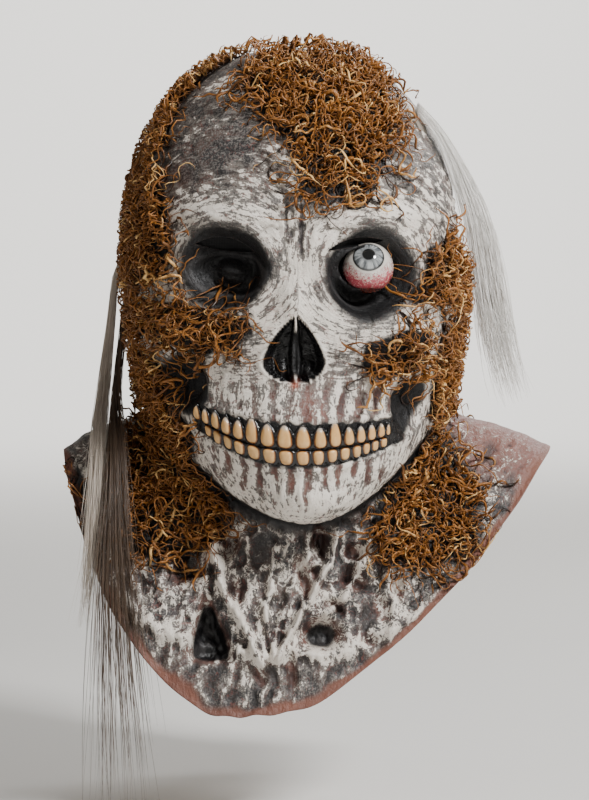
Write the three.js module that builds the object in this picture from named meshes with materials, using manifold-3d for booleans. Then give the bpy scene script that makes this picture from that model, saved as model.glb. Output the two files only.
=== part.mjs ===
// A full-head latex halloween mask of a rotting skull, with its neck and chest bib.
// One slip-cast latex skin carries two rows of cast teeth, a resin eyeball, tufts of dried moss and
// three bunches of hair. Foam pads inside keep the skin clear of the wearer's head.
// Millimetres, +Z up, the face looks along -Y, and the wearer's left is +X.
// The origin is the middle of the crown pad's flat underside, which rests on the wearer's crown.
import * as THREE from "three";
import { mergeVertices } from "three/addons/utils/BufferGeometryUtils.js";
import Module from "manifold-3d";

// ---- driving dimensions ----
const EYE_LINE = -114; // height of the line through both eye sockets
const SKIN_WALL = 3; // latex thickness
const GAP = 0.45; // clearance between pieces that touch
const MOSS_LIFT = 9; // how far a tuft of moss stands off the skin
const TOOTH_LIFT = 3.2; // how far a tooth stands out of its gum strip
const GUM_LIFT = 1.2; // thickness of the gum strip itself
const GUM_BACK = -2; // how deep a gum strip starts before the skin cuts it
const EYEBALL_RADIUS = 15.5;
const EYEBALL = { x: 43.5, y: -91, z: 1 }; // centre; z is from the eye line

// Horizontal sections of the latex from the crown to the hem. Heights are from the eye line.
// half: half width at the ears, with its height; front, back: reach from the head's axis, with height;
// square: exponent of the superellipse, 2 being an ellipse; lean: sideways shift at ears and front.
const SECTIONS = [
  { name: "crown", half: [0.01, 138], front: [0.01, 138], back: [0.01, 138], square: 2, lean: [0, 0] },
  { name: "crown_ring", half: [30, 134], front: [34, 133], back: [36, 134], square: 2, lean: [0, 0] },
  { name: "upper_vault", half: [55, 121], front: [60, 119], back: [64, 120], square: 2, lean: [0, 0] },
  { name: "vault", half: [76, 100], front: [82, 96], back: [88, 97], square: 2.1, lean: [0, 0] },
  { name: "high_forehead", half: [92, 70], front: [98, 69], back: [106, 64], square: 2.2, lean: [0, 0] },
  { name: "forehead", half: [100, 38], front: [107, 41], back: [116, 25], square: 2.3, lean: [0, 0] },
  { name: "brow", half: [102, 10], front: [112, 14], back: [118, -5], square: 2.35, lean: [0, 0] },
  { name: "eyes", half: [102, -16], front: [111, -10], back: [112, -30], square: 2.3, lean: [0, 0] },
  { name: "cheekbones", half: [100, -38], front: [113, -38], back: [103, -52], square: 2.2, lean: [0, 1] },
  { name: "upper_jaw", half: [97, -56], front: [112, -68], back: [94, -74], square: 2.05, lean: [0, 2] },
  { name: "teeth", half: [95, -70], front: [116, -102], back: [87, -94], square: 1.95, lean: [0, 3] },
  { name: "chin", half: [94, -79], front: [113, -134], back: [83, -110], square: 1.85, lean: [0, 5] },
  { name: "chin_edge", half: [94, -84], front: [99, -152], back: [82, -121], square: 1.85, lean: [0, 6] },
  { name: "throat", half: [96, -89], front: [78, -157], back: [83, -132], square: 1.9, lean: [0, 3] },
  { name: "neck", half: [104, -94], front: [74, -183], back: [87, -146], square: 2, lean: [2, -6] },
  { name: "collar", half: [122, -99], front: [81, -215], back: [91, -166], square: 2, lean: [4, -15] },
  { name: "chest", half: [140, -106], front: [88, -246], back: [96, -185], square: 2, lean: [6, -22] },
  { name: "hem", half: [154, -114], front: [92, -273], back: [99, -203], square: 2, lean: [7, -29] },
];
const LAST = SECTIONS.length - 1;
const COLUMNS = 56; // points round the skin
const FRONT_DENSITY = 0.22; // 0 spaces the columns evenly, more crowds them towards the face
const BANDS = [{ to: 5, rows: 6 }, { to: 13, rows: 22 }, { to: LAST, rows: 8 }]; // rows down the skin

// Hollows and bosses of the face and chest: centre and radii seen from the front, heights from the
// eye line. lift is positive outwards. flat is the share of the radius that stays level.
const FEATURES = [
  { name: "right_socket", x: -43, z: 1, rx: 28, rz: 26, lift: -20, flat: 0.45 },
  { name: "left_socket", x: 45, z: -3, rx: 29, rz: 29, lift: -21, flat: 0.5 },
  { name: "right_nostril", x: -10.5, z: -52, rx: 11, rz: 19, lift: -12, flat: 0.3 },
  { name: "left_nostril", x: 9, z: -52, rx: 11, rz: 19, lift: -12, flat: 0.3 },
  { name: "nose_bone", x: -1, z: -18, rx: 13, rz: 20, lift: 4, flat: 0.1 },
  { name: "right_cheekbone", x: -66, z: -36, rx: 26, rz: 14, lift: 6, flat: 0.1 },
  { name: "left_cheekbone", x: 66, z: -40, rx: 26, rz: 14, lift: 6, flat: 0.1 },
  { name: "right_brow", x: -44, z: 32, rx: 34, rz: 11, lift: 5, flat: 0.1 },
  { name: "left_brow", x: 46, z: 31, rx: 34, rz: 11, lift: 5, flat: 0.1 },
  { name: "right_cheek_hollow", x: -67, z: -68, rx: 14, rz: 20, lift: -9, flat: 0.3 },
  { name: "left_cheek_hollow", x: 68, z: -82, rx: 12, rz: 22, lift: -9, flat: 0.3 },
  { name: "muzzle", x: 0, z: -100, rx: 56, rz: 32, lift: 5, flat: 0.2 },
  { name: "chin_boss", x: 6, z: -140, rx: 34, rz: 16, lift: 4, flat: 0.2 },
  { name: "right_collar_pit", x: -52, z: -217, rx: 17, rz: 22, lift: -11, flat: 0.3 },
  { name: "left_collar_pit", x: 16, z: -221, rx: 15, rz: 13, lift: -9, flat: 0.3 },
  { name: "right_neck_pit", x: -68, z: -180, rx: 16, rz: 16, lift: -8, flat: 0.3 },
  { name: "left_neck_pit", x: 34, z: -192, rx: 12, rz: 12, lift: -5, flat: 0.3 },
];

// Where the two rows of teeth meet, seen from the front: lowest in the middle, rising to the corners.
// middle is the angle of the gap between the front teeth; widths run from there to each corner.
const BITE = { x: 3, z: -107.4, riseRight: 0.0042, riseLeft: 0.0025, middle: -2 };
const UPPER_TEETH = {
  right: [10.3, 9.9, 9.8, 9.4, 9.2, 9, 7.6, 7.4],
  left: [10.2, 9, 8.8, 8.6, 8.2, 8, 7.2, 5],
  height: 15,
};
const LOWER_TEETH = {
  right: [9.8, 9.6, 10, 9.6, 8.6, 8.4, 7.6],
  left: [9, 8.4, 7.9, 8.2, 7.6, 6.8, 7, 7.2],
  height: 9.5,
};

const smooth = (edge0, edge1, x) => THREE.MathUtils.smoothstep(x, edge0, edge1);
const radians = THREE.MathUtils.degToRad;

// ---- the latex surface ----

// One value of the sections at a fractional row, by a Catmull-Rom spline.
function along(pick, row) {
  const i = Math.min(Math.floor(row), LAST - 1);
  const s = row - i;
  const at = (k) => pick(SECTIONS[Math.min(Math.max(k, 0), LAST)]);
  const [p0, p1, p2, p3] = [at(i - 1), at(i), at(i + 1), at(i + 2)];
  const slope = p2 - p0;
  const bend = 2 * p0 - 5 * p1 + 4 * p2 - p3;
  const twist = 3 * p1 - p0 - 3 * p2 + p3;
  return 0.5 * (2 * p1 + slope * s + bend * s * s + twist * s * s * s);
}

// The plain surface without its features. angle is 0 at the face and 90 degrees at the left ear.
function plainPoint(angle, row) {
  const side = Math.sin(angle);
  const ahead = Math.cos(angle);
  const end = ahead > 0 ? "front" : "back";
  const half = Math.max(along((s) => s.half[0], row), 0.01);
  const reach = Math.max(along((s) => s[end][0], row), 0.01);
  const n = along((s) => s.square, row);
  const r = (Math.abs(side / half) ** n + Math.abs(ahead / reach) ** n) ** (-1 / n);
  const share = ((r * ahead) / reach) ** 2;
  const sideZ = along((s) => s.half[1], row);
  const endZ = along((s) => s[end][1], row);
  const leanSide = along((s) => s.lean[0], row);
  const lean = ahead > 0 ? leanSide + (along((s) => s.lean[1], row) - leanSide) * share : leanSide;
  return new THREE.Vector3(
    r * side + lean,
    -r * ahead,
    EYE_LINE + sideZ + (endZ - sideZ) * share,
  );
}

// The outward direction of the plain surface.
function plainNormal(angle, row) {
  const step = 0.02;
  const low = Math.min(row + step, LAST);
  const high = Math.max(row - step, 0.05);
  const across = plainPoint(angle + step, row).sub(plainPoint(angle - step, row));
  const down = plainPoint(angle, low).sub(plainPoint(angle, high));
  return across.cross(down).negate().normalize();
}

// How far the features lift the skin at a place seen from the front, height from the eye line.
function relief(x, z) {
  return FEATURES.reduce((sum, f) => {
    const d = Math.hypot((x - f.x) / f.rx, (z - f.z) / f.rz);
    return sum + f.lift * (1 - smooth(f.flat, 1, d));
  }, 0);
}

// A point on the skin's outer face, moved outwards by offset.
function skinPoint(angle, row, offset = 0) {
  const p = plainPoint(angle, row);
  const facing = smooth(0, 0.3, Math.cos(angle));
  const lift = row > 0.5 ? facing * relief(p.x, p.z - EYE_LINE) : 0;
  const normal = row > 0.5 ? plainNormal(angle, row) : new THREE.Vector3(0, 0, 1);
  return p.addScaledVector(normal, lift + offset);
}

// The row at which the plain surface comes down to a height that may depend on the place across.
function rowAtHeight(angle, heightAt) {
  let [high, low] = [1, LAST - 0.5];
  for (let i = 0; i < 30; i++) {
    const row = (high + low) / 2;
    const p = plainPoint(angle, row);
    if (p.z - EYE_LINE > heightAt(p.x)) high = row;
    else low = row;
  }
  return high;
}

// ---- closed meshes ----

// A closed body between two stacks of rings: each stack runs from its pole to a shared rim.
// A stack with no rings is a fan from the other's rim to its pole.
function closedBody(top, bottom) {
  const positions = [];
  const faces = [];
  const push = (p) => positions.push(p.x, p.y, p.z) / 3 - 1;
  const stack = ({ pole, rings }) => ({
    pole: push(pole),
    rings: rings.map((ring) => ring.map(push)),
  });
  const [a, b] = [stack(top), stack(bottom)];
  const fan = (pole, ring, flip) =>
    ring.forEach((p, i) => {
      const q = ring[(i + 1) % ring.length];
      faces.push(...(flip ? [pole, q, p] : [pole, p, q]));
    });
  const band = (r1, r2, flip) =>
    r1.forEach((p, i) => {
      const j = (i + 1) % r1.length;
      const quad = [p, r2[i], r2[j], p, r2[j], r1[j]];
      faces.push(...(flip ? quad.reverse() : quad));
    });
  const walls = (s, flip) => {
    if (!s.rings.length) return;
    fan(s.pole, s.rings[0], flip);
    s.rings.slice(1).forEach((ring, i) => band(s.rings[i], ring, flip));
  };
  walls(a, false);
  walls(b, true);
  const rim = a.rings[a.rings.length - 1];
  if (b.rings.length) band(rim, b.rings[b.rings.length - 1], false);
  else fan(b.pole, rim, true);
  const geometry = new THREE.BufferGeometry();
  geometry.setAttribute("position", new THREE.Float32BufferAttribute(positions, 3));
  geometry.setIndex(faces);
  return facingOut(geometry);
}

// Turns every face round if the body encloses a negative volume.
function facingOut(geometry) {
  const p = geometry.getAttribute("position");
  const index = geometry.getIndex().array;
  const corner = (k) => new THREE.Vector3().fromBufferAttribute(p, index[k]);
  let volume = 0;
  for (let i = 0; i < index.length; i += 3)
    volume += corner(i).dot(corner(i + 1).cross(corner(i + 2)));
  if (volume < 0) geometry.setIndex([...index].reverse());
  return geometry;
}

const wasm = await Module();
wasm.setup();

function toSolid(geometry) {
  const bare = geometry.clone();
  bare.deleteAttribute("normal");
  bare.deleteAttribute("uv");
  const merged = mergeVertices(bare, 1e-4);
  return new wasm.Manifold(
    new wasm.Mesh({
      numProp: 3,
      vertProperties: new Float32Array(merged.getAttribute("position").array),
      triVerts: new Uint32Array(merged.getIndex().array),
    }),
  );
}

function toGeometry(solid) {
  const mesh = solid.getMesh();
  return new THREE.BufferGeometry()
    .setAttribute("position", new THREE.BufferAttribute(new Float32Array(mesh.vertProperties), 3))
    .setIndex(new THREE.BufferAttribute(new Uint32Array(mesh.triVerts), 1));
}

// The biggest body of a solid, so that a cut leaves no crumbs.
function mainBody(solid) {
  return solid.decompose().reduce((a, b) => (a.volume() > b.volume() ? a : b));
}

// ---- the skin ----

const columnAngle = (i) => {
  const u = (2 * i) / COLUMNS - 1;
  return Math.PI * (u - FRONT_DENSITY * Math.sin(Math.PI * u));
};

// One side of the skin as a stack of rings from crown to hem, closest together over the face.
function skinStack(offset) {
  const rings = [];
  let from = 0;
  for (const { to, rows } of BANDS) {
    for (let k = 1; k <= rows; k++) {
      const row = from + ((to - from) * k) / rows;
      rings.push(Array.from({ length: COLUMNS }, (_, i) => skinPoint(columnAngle(i), row, offset)));
    }
    from = to;
  }
  return { pole: skinPoint(0, 0, offset), rings };
}

// A slit to look through: a bent lens, cut straight back through the skin.
function visionSlit({ x, z, length, height, arch, tilt }) {
  const outline = new THREE.Shape();
  outline.moveTo(-length / 2, 0);
  outline.quadraticCurveTo(0, 2 * arch + height, length / 2, 0);
  outline.quadraticCurveTo(0, 2 * arch - height, -length / 2, 0);
  const slot = new THREE.ExtrudeGeometry(outline, { depth: 60, bevelEnabled: false, curveSegments: 6 });
  slot.rotateX(Math.PI / 2); // the extrusion now runs along -Y, with the slit's height along Z
  slot.rotateY(radians(tilt));
  slot.translate(x, -70, EYE_LINE + z);
  return toSolid(slot);
}

const SLITS = [
  { x: -43, z: 13, length: 36, height: 8, arch: 2.5, tilt: 8 },
  { x: 36, z: 14.5, length: 34, height: 5, arch: 2, tilt: -10 },
];
const solidHead = toSolid(closedBody(skinStack(0), skinStack(-SKIN_WALL)));
const skin = SLITS.reduce((s, slit) => s.subtract(visionSlit(slit)), solidHead);

// Everything inside the outer face, grown by the gap: what pieces on the outside are cut by.
const hemMiddle = plainPoint(0, LAST).setX(0).setY(0);
const grownHead = toSolid(
  closedBody(skinStack(GAP), { pole: hemMiddle, rings: [] }),
);
// The hollow inside, shrunk by the gap: what pieces on the inside are trimmed to.
const hollow = toSolid(
  closedBody(skinStack(-SKIN_WALL - GAP), { pole: hemMiddle, rings: [] }),
);

// ---- patches on the skin ----

// A smooth closed outline through points of [angle in degrees, row], sampled evenly.
function outlinePoints(points, count) {
  const curve = new THREE.CatmullRomCurve3(
    points.map(([angle, row]) => new THREE.Vector3(angle, row * 10, 0)),
    true,
  );
  return curve.getSpacedPoints(count).slice(0, count).map((p) => [p.x, p.y / 10]);
}

// A pad on the skin inside an outline. Its outer face crowns to lift; its base is at depth.
function padBody(points, { lift, depth, sectors = 18, rings = 3, edge = 0.25 }) {
  const rim = outlinePoints(points, sectors);
  const mean = (k) => rim.reduce((sum, p) => sum + p[k], 0) / rim.length;
  const centre = [mean(0), mean(1)];
  const face = (height) => {
    const at = (p, s) => {
      const angle = radians(centre[0] + (p[0] - centre[0]) * s);
      return skinPoint(angle, centre[1] + (p[1] - centre[1]) * s, height(s));
    };
    return {
      pole: at(centre, 0),
      rings: Array.from({ length: rings }, (_, k) => rim.map((p) => at(p, (k + 1) / rings))),
    };
  };
  const crown = (s) => lift * (edge + (1 - edge) * Math.sqrt(Math.max(0, 1 - s ** 3)));
  return toSolid(closedBody(face(crown), face(() => depth)));
}

// Outlines of the moss tufts, as [angle, row] going round each.
const MOSS = {
  crown_moss: [
    [-34, 1.9], [-30, 1], [20, 0.8], [60, 1.1], [62, 1.9], [54, 2.9], [40, 3.8],
    [30, 4.6], [20, 5.2], [8, 5.4], [0, 5.1], [-1, 4.2], [-10, 3.4], [-24, 2.7],
  ],
  right_crown_moss: [
    [-66, 1.1], [-110, 1.2], [-120, 2], [-118, 3], [-110, 4.1], [-80, 4.1],
    [-52, 4], [-68, 3.3], [-71, 2.8], [-70, 2.1],
  ],
  right_temple_moss: [
    [-104, 4.5], [-80, 4.4], [-53, 4.4], [-47, 4.9], [-40, 5.6], [-40, 6.3],
    [-41, 6.8], [-50, 6.9], [-75, 6.9], [-102, 6.9], [-108, 5.6],
  ],
  right_cheek_moss: [
    [-98, 7.2], [-64, 7.2], [-40, 7.2], [-29, 7.5], [-20, 7.6], [-13, 7.6],
    [-11, 8], [-17, 8.4], [-29, 8.6], [-47, 8.4], [-72, 8.2], [-98, 8.3],
  ],
  right_jaw_moss: [
    [-98, 8.7], [-74, 8.7], [-50, 8.9], [-49, 9.6], [-43, 10.3], [-37, 10.8],
    [-42, 12], [-60, 12.5], [-80, 12.5], [-98, 12.3],
  ],
  right_neck_moss: [
    [-76, 13.1], [-56, 13], [-34, 12.9], [-26, 13.1], [-28, 13.6], [-33, 14.2],
    [-38, 14.5], [-45, 15], [-53, 15.7], [-62, 16], [-71, 15.7], [-80, 14.8],
  ],
  right_shoulder_moss: [[-78, 16.85], [-79, 16.4], [-72, 16.15], [-65, 16.3], [-62, 16.6], [-63, 16.85]],
  left_temple_moss: [
    [44, 5.9], [50, 5.75], [62, 5.9], [80, 6.3], [94, 6.9], [92, 7.3], [60, 7.4],
    [40, 7.4], [35, 7.3], [42, 6.7],
  ],
  left_cheek_moss: [
    [19, 8.2], [33, 7.9], [46, 7.9], [49, 8.4], [48, 9], [38, 9.1], [26, 9.1], [19, 8.7],
  ],
  left_jaw_moss: [
    [56, 8], [94, 8], [98, 8.8], [98, 11], [94, 12.3], [76, 12.4], [58, 11.7],
    [53, 10.2], [55, 8.9],
  ],
  left_chest_moss: [
    [38, 12.9], [58, 12.9], [76, 13.4], [72, 14.9], [68, 16.3], [64, 16.8], [59, 16.6],
    [50, 15.6], [43, 15.2], [38, 14.2], [34, 13.3],
  ],
  rear_crown_moss: [[128, 3], [160, 2.2], [200, 2.6], [214, 4], [196, 5.3], [150, 5.1]],
  nape_moss: [[142, 7.1], [180, 6.8], [216, 7.4], [206, 9.4], [176, 10], [148, 9]],
};

const THIN_TUFTS = ["right_shoulder_moss"];

function mossTuft(points, lift) {
  return padBody(points, { lift, depth: -2 }).subtract(grownHead);
}

// Dabs of latex that bond the roots of the hair.
const HAIR_TABS = {
  left_hair_tab: [[58, 3], [66, 2.7], [73, 3.1], [70, 3.55], [60, 3.45]],
  right_hair_tab: [[-130, 5.2], [-118, 5.1], [-118, 5.9], [-130, 6]],
  rear_hair_tab: [[166, 5.9], [194, 5.9], [194, 6.35], [166, 6.35]],
};

function hairTab(points) {
  return padBody(points, { lift: 2, depth: -1, sectors: 10, rings: 2, edge: 0.6 }).subtract(grownHead);
}

// Black see-through gauze bonded behind the slits.
const GAUZE = {
  right_eye_gauze: [[-38, 5.5], [-22, 5.6], [-10, 5.9], [-10, 6.6], [-22, 6.7], [-38, 6.5]],
  left_eye_gauze: [[7, 5.7], [20, 5.5], [34, 5.4], [34, 6.3], [20, 6.5], [7, 6.5]],
};

function insidePad(points, thickness, options = {}) {
  const inner = -SKIN_WALL - thickness - GAP;
  return padBody(points, { lift: -SKIN_WALL + 1, depth: inner, edge: 1, ...options }).intersect(hollow);
}

// Foam that holds the skin off the wearer's head.
const TEMPLE_PAD_THICKNESS = 12;
const TEMPLE_PADS = {
  right_temple_pad: [[-112, 4.6], [-76, 4.6], [-74, 6.8], [-112, 6.8]],
  left_temple_pad: [[76, 4.6], [112, 4.6], [112, 6.8], [74, 6.8]],
};

// The crown pad: a round block with a flat underside, domed to fit under the crown.
const CROWN_PAD = { radius: 42, sides: 28 };

function crownPad() {
  const block = new THREE.CylinderGeometry(CROWN_PAD.radius, CROWN_PAD.radius, 60, CROWN_PAD.sides);
  block.rotateX(Math.PI / 2);
  block.translate(0, 0, 30); // the flat underside is at z 0
  return toSolid(block).intersect(hollow);
}

// ---- teeth ----

// A row of teeth on its gum strip: cross-sections swept along the bite. up is 1 or -1.
function toothRow({ right, left, height }, up) {
  const ends = (widths) => widths.reduce((list, w) => [...list, list[list.length - 1] + w], [0]);
  const gaps = [...ends(right).slice(1).reverse().map((e) => -e), ...ends(left)];
  const total = { right: -gaps[0], left: gaps[gaps.length - 1] };
  const bumps = [0, 0.86, 1, 0.86]; // how far a tooth stands out, from one gap to the next
  const stations = gaps.slice(0, -1).flatMap((start, i) =>
    bumps.map((bump, k) => ({ s: start + ((gaps[i + 1] - start) * k) / bumps.length, bump })),
  );
  stations.push({ s: total.left, bump: 0 });
  const biteAt = (x) => {
    const d = x - BITE.x;
    return BITE.z + (d < 0 ? BITE.riseRight : BITE.riseLeft) * d * d + up * 0.4;
  };
  const rings = stations.map(({ s, bump }) => {
    const angle = angleAlong(s, biteAt);
    const size = 1 - 0.4 * (s / (s < 0 ? total.right : total.left)) ** 2; // smaller to the corners
    const near = rowAtHeight(angle, biteAt);
    const far = rowAtHeight(angle, (x) => biteAt(x) + up * height * size);
    const at = (v, lift) => skinPoint(angle, near + (far - near) * v, lift);
    const out = GUM_LIFT + TOOTH_LIFT * bump * size;
    const crown = [[0.08, out], [0.5, out], [0.85, GUM_LIFT + 0.5]];
    const section = [[0, GUM_BACK], [0, GUM_LIFT], ...crown, [1, GUM_LIFT], [1, GUM_BACK]];
    return section.map(([v, lift]) => at(v, lift));
  });
  const [first, last] = [rings[0], rings[rings.length - 1]];
  const mid = (ring) => ring.reduce((sum, p) => sum.add(p), new THREE.Vector3()).divideScalar(ring.length);
  const body = closedBody({ pole: mid(first), rings }, { pole: mid(last), rings: [] });
  return toSolid(body).subtract(grownHead);
}

// The angle at a signed distance along a level line of the plain skin from the middle of the bite.
function angleAlong(distance, heightAt) {
  const turn = radians(Math.sign(distance));
  const point = (angle) => plainPoint(angle, rowAtHeight(angle, heightAt));
  let angle = radians(BITE.middle);
  let here = point(angle);
  let left = Math.abs(distance);
  while (left > 0) {
    const next = point(angle + turn);
    const leg = here.distanceTo(next);
    if (leg >= left) return angle + (turn * left) / leg;
    left -= leg;
    angle += turn;
    here = next;
  }
  return angle;
}

// ---- eyeball ----

// A dome of clear-coated resin with a flat back, its pole turned to the front.
function eyeball() {
  const backPlane = -7; // distance of the flat back behind the ball's centre
  const profile = [new THREE.Vector2(0, backPlane)];
  const from = Math.asin(backPlane / EYEBALL_RADIUS);
  for (let k = 0; k <= 7; k++) {
    const a = from + ((Math.PI / 2 - from) * k) / 7;
    profile.push(new THREE.Vector2(k < 7 ? EYEBALL_RADIUS * Math.cos(a) : 0, EYEBALL_RADIUS * Math.sin(a)));
  }
  const dome = new THREE.LatheGeometry(profile, 20);
  dome.rotateX(Math.PI); // half a turn sends the pole from +Y to the front
  dome.translate(EYEBALL.x, EYEBALL.y, EYE_LINE + EYEBALL.z);
  return toSolid(dome).subtract(grownHead);
}

// ---- hair ----

// Each lock hangs from its tab: first points on the skin as [angle, row, height off it], then free
// points [x, y, height from the eye line]. sizes are half sizes [across, through] at the root, the
// middle and the tip. facing is the way its flat side looks at the tip.
const LOCKS = {
  left_hair_lock: {
    skin: [[64, 3.1, 4.5], [72, 3.7, 5.5], [80, 4.6, 8]],
    free: [[113, -16, 30], [119, -13, 0], [124, -11, -30], [131, -9, -62], [138, -8, -86]],
    sizes: [[7, 1.6], [8, 3.5], [6, 2]],
    facing: [0.3, -1, 0],
  },
  right_grey_lock: {
    skin: [[-124, 5.4, 4.5]],
    free: [
      [-113, 24, 0], [-118, 10, -40], [-121.5, -10, -78], [-123, -36, -102], [-123.5, -58, -134],
      [-125, -70, -165], [-128, -74, -200], [-131, -75, -222],
    ],
    sizes: [[5, 1.6], [5, 3], [2.5, 1.5]],
    facing: [-0.4, -1, 0],
  },
  right_brown_lock: {
    skin: [[-124, 5.8, 4.5]],
    free: [
      [-108, 27, -20], [-111, 10, -50], [-113, -14, -76], [-112, -42, -96], [-111, -62, -126],
      [-111, -76, -160], [-110, -84, -200], [-108, -89, -250], [-104, -89, -332],
    ],
    sizes: [[5, 1.8], [7, 3], [24, 6]],
    facing: [0, -1, 0],
  },
  rear_hair_lock: {
    skin: [[180, 6.1, 4.5]],
    free: [[0, 130, -30], [0, 131, -80], [0, 129, -140], [0, 127, -200], [0, 126, -285]],
    sizes: [[18, 2], [30, 4], [24, 3]],
    facing: [0, 1, 0],
  },
};

// A lock as rings along its line; its flat side turns from the skin's outward way to its facing.
function hairLock({ skin: rooted, free, sizes, facing }) {
  const curve = new THREE.CatmullRomCurve3([
    ...rooted.map(([angle, row, height]) => skinPoint(radians(angle), row, height)),
    ...free.map(([x, y, z]) => new THREE.Vector3(x, y, EYE_LINE + z)),
  ]);
  const rootOut = plainNormal(radians(rooted[0][0]), rooted[0][1]);
  const steps = 14;
  const sides = 10;
  const rings = [];
  for (let k = 0; k <= steps; k++) {
    const s = k / steps;
    const p = curve.getPointAt(s);
    const tangent = curve.getTangentAt(s);
    const out = rootOut.clone().lerp(new THREE.Vector3(...facing), Math.min(1, s * 1.5)).normalize();
    const across = new THREE.Vector3().crossVectors(tangent, out).normalize();
    const through = new THREE.Vector3().crossVectors(across, tangent).normalize();
    const size = (i) =>
      s < 0.5
        ? THREE.MathUtils.lerp(sizes[0][i], sizes[1][i], s * 2)
        : THREE.MathUtils.lerp(sizes[1][i], sizes[2][i], s * 2 - 1);
    const corner = (j) => {
      const a = (2 * Math.PI * j) / sides;
      const moved = p.clone().addScaledVector(across, size(0) * Math.cos(a));
      return moved.addScaledVector(through, size(1) * Math.sin(a));
    };
    rings.push(Array.from({ length: sides }, (_, j) => corner(j)));
  }
  return toSolid(
    closedBody({ pole: curve.getPointAt(0), rings }, { pole: curve.getPointAt(1), rings: [] }),
  );
}

// ---- assembly ----

const finish = (color, roughness) => new THREE.MeshStandardMaterial({ color, roughness, metalness: 0 });
const LATEX = finish(0xb9b4ab, 0.6);
const IVORY = finish(0xd9a867, 0.45);
const RESIN = finish(0xd8d2c8, 0.15);
const MOSS_FIBRE = finish(0x8a4f1c, 0.9);
const GREY_HAIR = finish(0xbdb8b0, 0.5);
const BROWN_HAIR = finish(0x4a3a2e, 0.55);
const GLUE = finish(0xa39a8c, 0.7);
const GAUZE_BLACK = finish(0x0c0c0c, 0.95);
const FOAM = finish(0x55565a, 0.95);

const mask = new THREE.Group();
mask.name = "skull_mask";

function addPiece(name, solid, material) {
  const mesh = new THREE.Mesh(toGeometry(mainBody(solid)), material);
  mesh.name = name;
  mask.add(mesh);
}

addPiece("mask_skin", skin, LATEX);
addPiece("left_eyeball", eyeball(), RESIN);
addPiece("upper_teeth", toothRow(UPPER_TEETH, 1), IVORY);
addPiece("lower_teeth", toothRow(LOWER_TEETH, -1), IVORY);
addPiece("crown_pad", crownPad(), FOAM);
for (const [name, points] of Object.entries(TEMPLE_PADS))
  addPiece(name, insidePad(points, TEMPLE_PAD_THICKNESS, { sectors: 16, rings: 3 }), FOAM);
for (const [name, points] of Object.entries(GAUZE))
  addPiece(name, insidePad(points, 0.8, { sectors: 12, rings: 3 }), GAUZE_BLACK);
for (const [name, points] of Object.entries(MOSS))
  addPiece(name, mossTuft(points, THIN_TUFTS.includes(name) ? MOSS_LIFT / 2 : MOSS_LIFT), MOSS_FIBRE);
for (const [name, points] of Object.entries(HAIR_TABS)) addPiece(name, hairTab(points), GLUE);
for (const [name, lock] of Object.entries(LOCKS))
  addPiece(name, hairLock(lock), name === "right_brown_lock" ? BROWN_HAIR : GREY_HAIR);

export default mask;
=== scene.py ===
import itertools
import math

import bpy
import numpy as np
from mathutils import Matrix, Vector


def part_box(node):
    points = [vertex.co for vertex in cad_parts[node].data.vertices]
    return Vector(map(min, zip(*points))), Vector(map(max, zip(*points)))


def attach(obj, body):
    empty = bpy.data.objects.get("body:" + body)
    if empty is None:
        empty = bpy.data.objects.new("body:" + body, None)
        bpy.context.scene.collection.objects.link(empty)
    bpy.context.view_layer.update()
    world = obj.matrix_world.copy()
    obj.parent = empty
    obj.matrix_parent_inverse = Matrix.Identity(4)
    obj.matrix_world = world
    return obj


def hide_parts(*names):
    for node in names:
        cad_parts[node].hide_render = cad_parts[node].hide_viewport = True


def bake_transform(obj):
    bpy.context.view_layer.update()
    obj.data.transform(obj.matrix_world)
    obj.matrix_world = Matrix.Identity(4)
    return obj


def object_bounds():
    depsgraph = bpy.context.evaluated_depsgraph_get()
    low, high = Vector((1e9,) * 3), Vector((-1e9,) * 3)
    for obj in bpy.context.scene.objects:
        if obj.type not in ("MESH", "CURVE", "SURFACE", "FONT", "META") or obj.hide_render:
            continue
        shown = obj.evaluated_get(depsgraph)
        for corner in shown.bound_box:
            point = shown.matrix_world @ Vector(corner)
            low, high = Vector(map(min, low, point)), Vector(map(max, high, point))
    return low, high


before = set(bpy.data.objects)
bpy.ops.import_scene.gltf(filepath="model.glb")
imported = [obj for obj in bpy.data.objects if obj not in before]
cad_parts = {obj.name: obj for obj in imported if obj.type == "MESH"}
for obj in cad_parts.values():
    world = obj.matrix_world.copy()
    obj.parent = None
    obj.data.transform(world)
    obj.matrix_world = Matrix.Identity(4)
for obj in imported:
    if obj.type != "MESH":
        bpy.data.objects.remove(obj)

# The CAD box, whose bottom sets the floor's height.
cad_low, cad_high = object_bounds()

# ---- Camera ----
# Looks the mask in the face from two metres, a little above the middle of its height, through a long
# lens, so that the bib and the ends of the brown hair fill the frame's height.
SHOT_HEIGHT = 0.48  # metres of the face's plane that the frame takes in
SHOT_DISTANCE = 2.0
SHOT_RISE = 3.0  # degrees above level
EYE_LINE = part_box("mask_skin")[1].z * 1000 - 138  # mm; the crown stands 138 mm above the eyes
aim = Vector((-0.001, -0.11, (EYE_LINE - 78) / 1000))
rise = math.radians(SHOT_RISE)
camera_data = bpy.data.cameras.new("camera")
camera_data.sensor_width = 36
camera_data.lens = camera_data.sensor_width * SHOT_DISTANCE / SHOT_HEIGHT
camera = bpy.data.objects.new("camera", camera_data)
camera.location = aim + SHOT_DISTANCE * Vector((0, -math.cos(rise), math.sin(rise)))
camera.rotation_euler = (math.radians(90) - rise, 0, 0)
bpy.context.scene.collection.objects.link(camera)
bpy.context.scene.camera = camera

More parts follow.
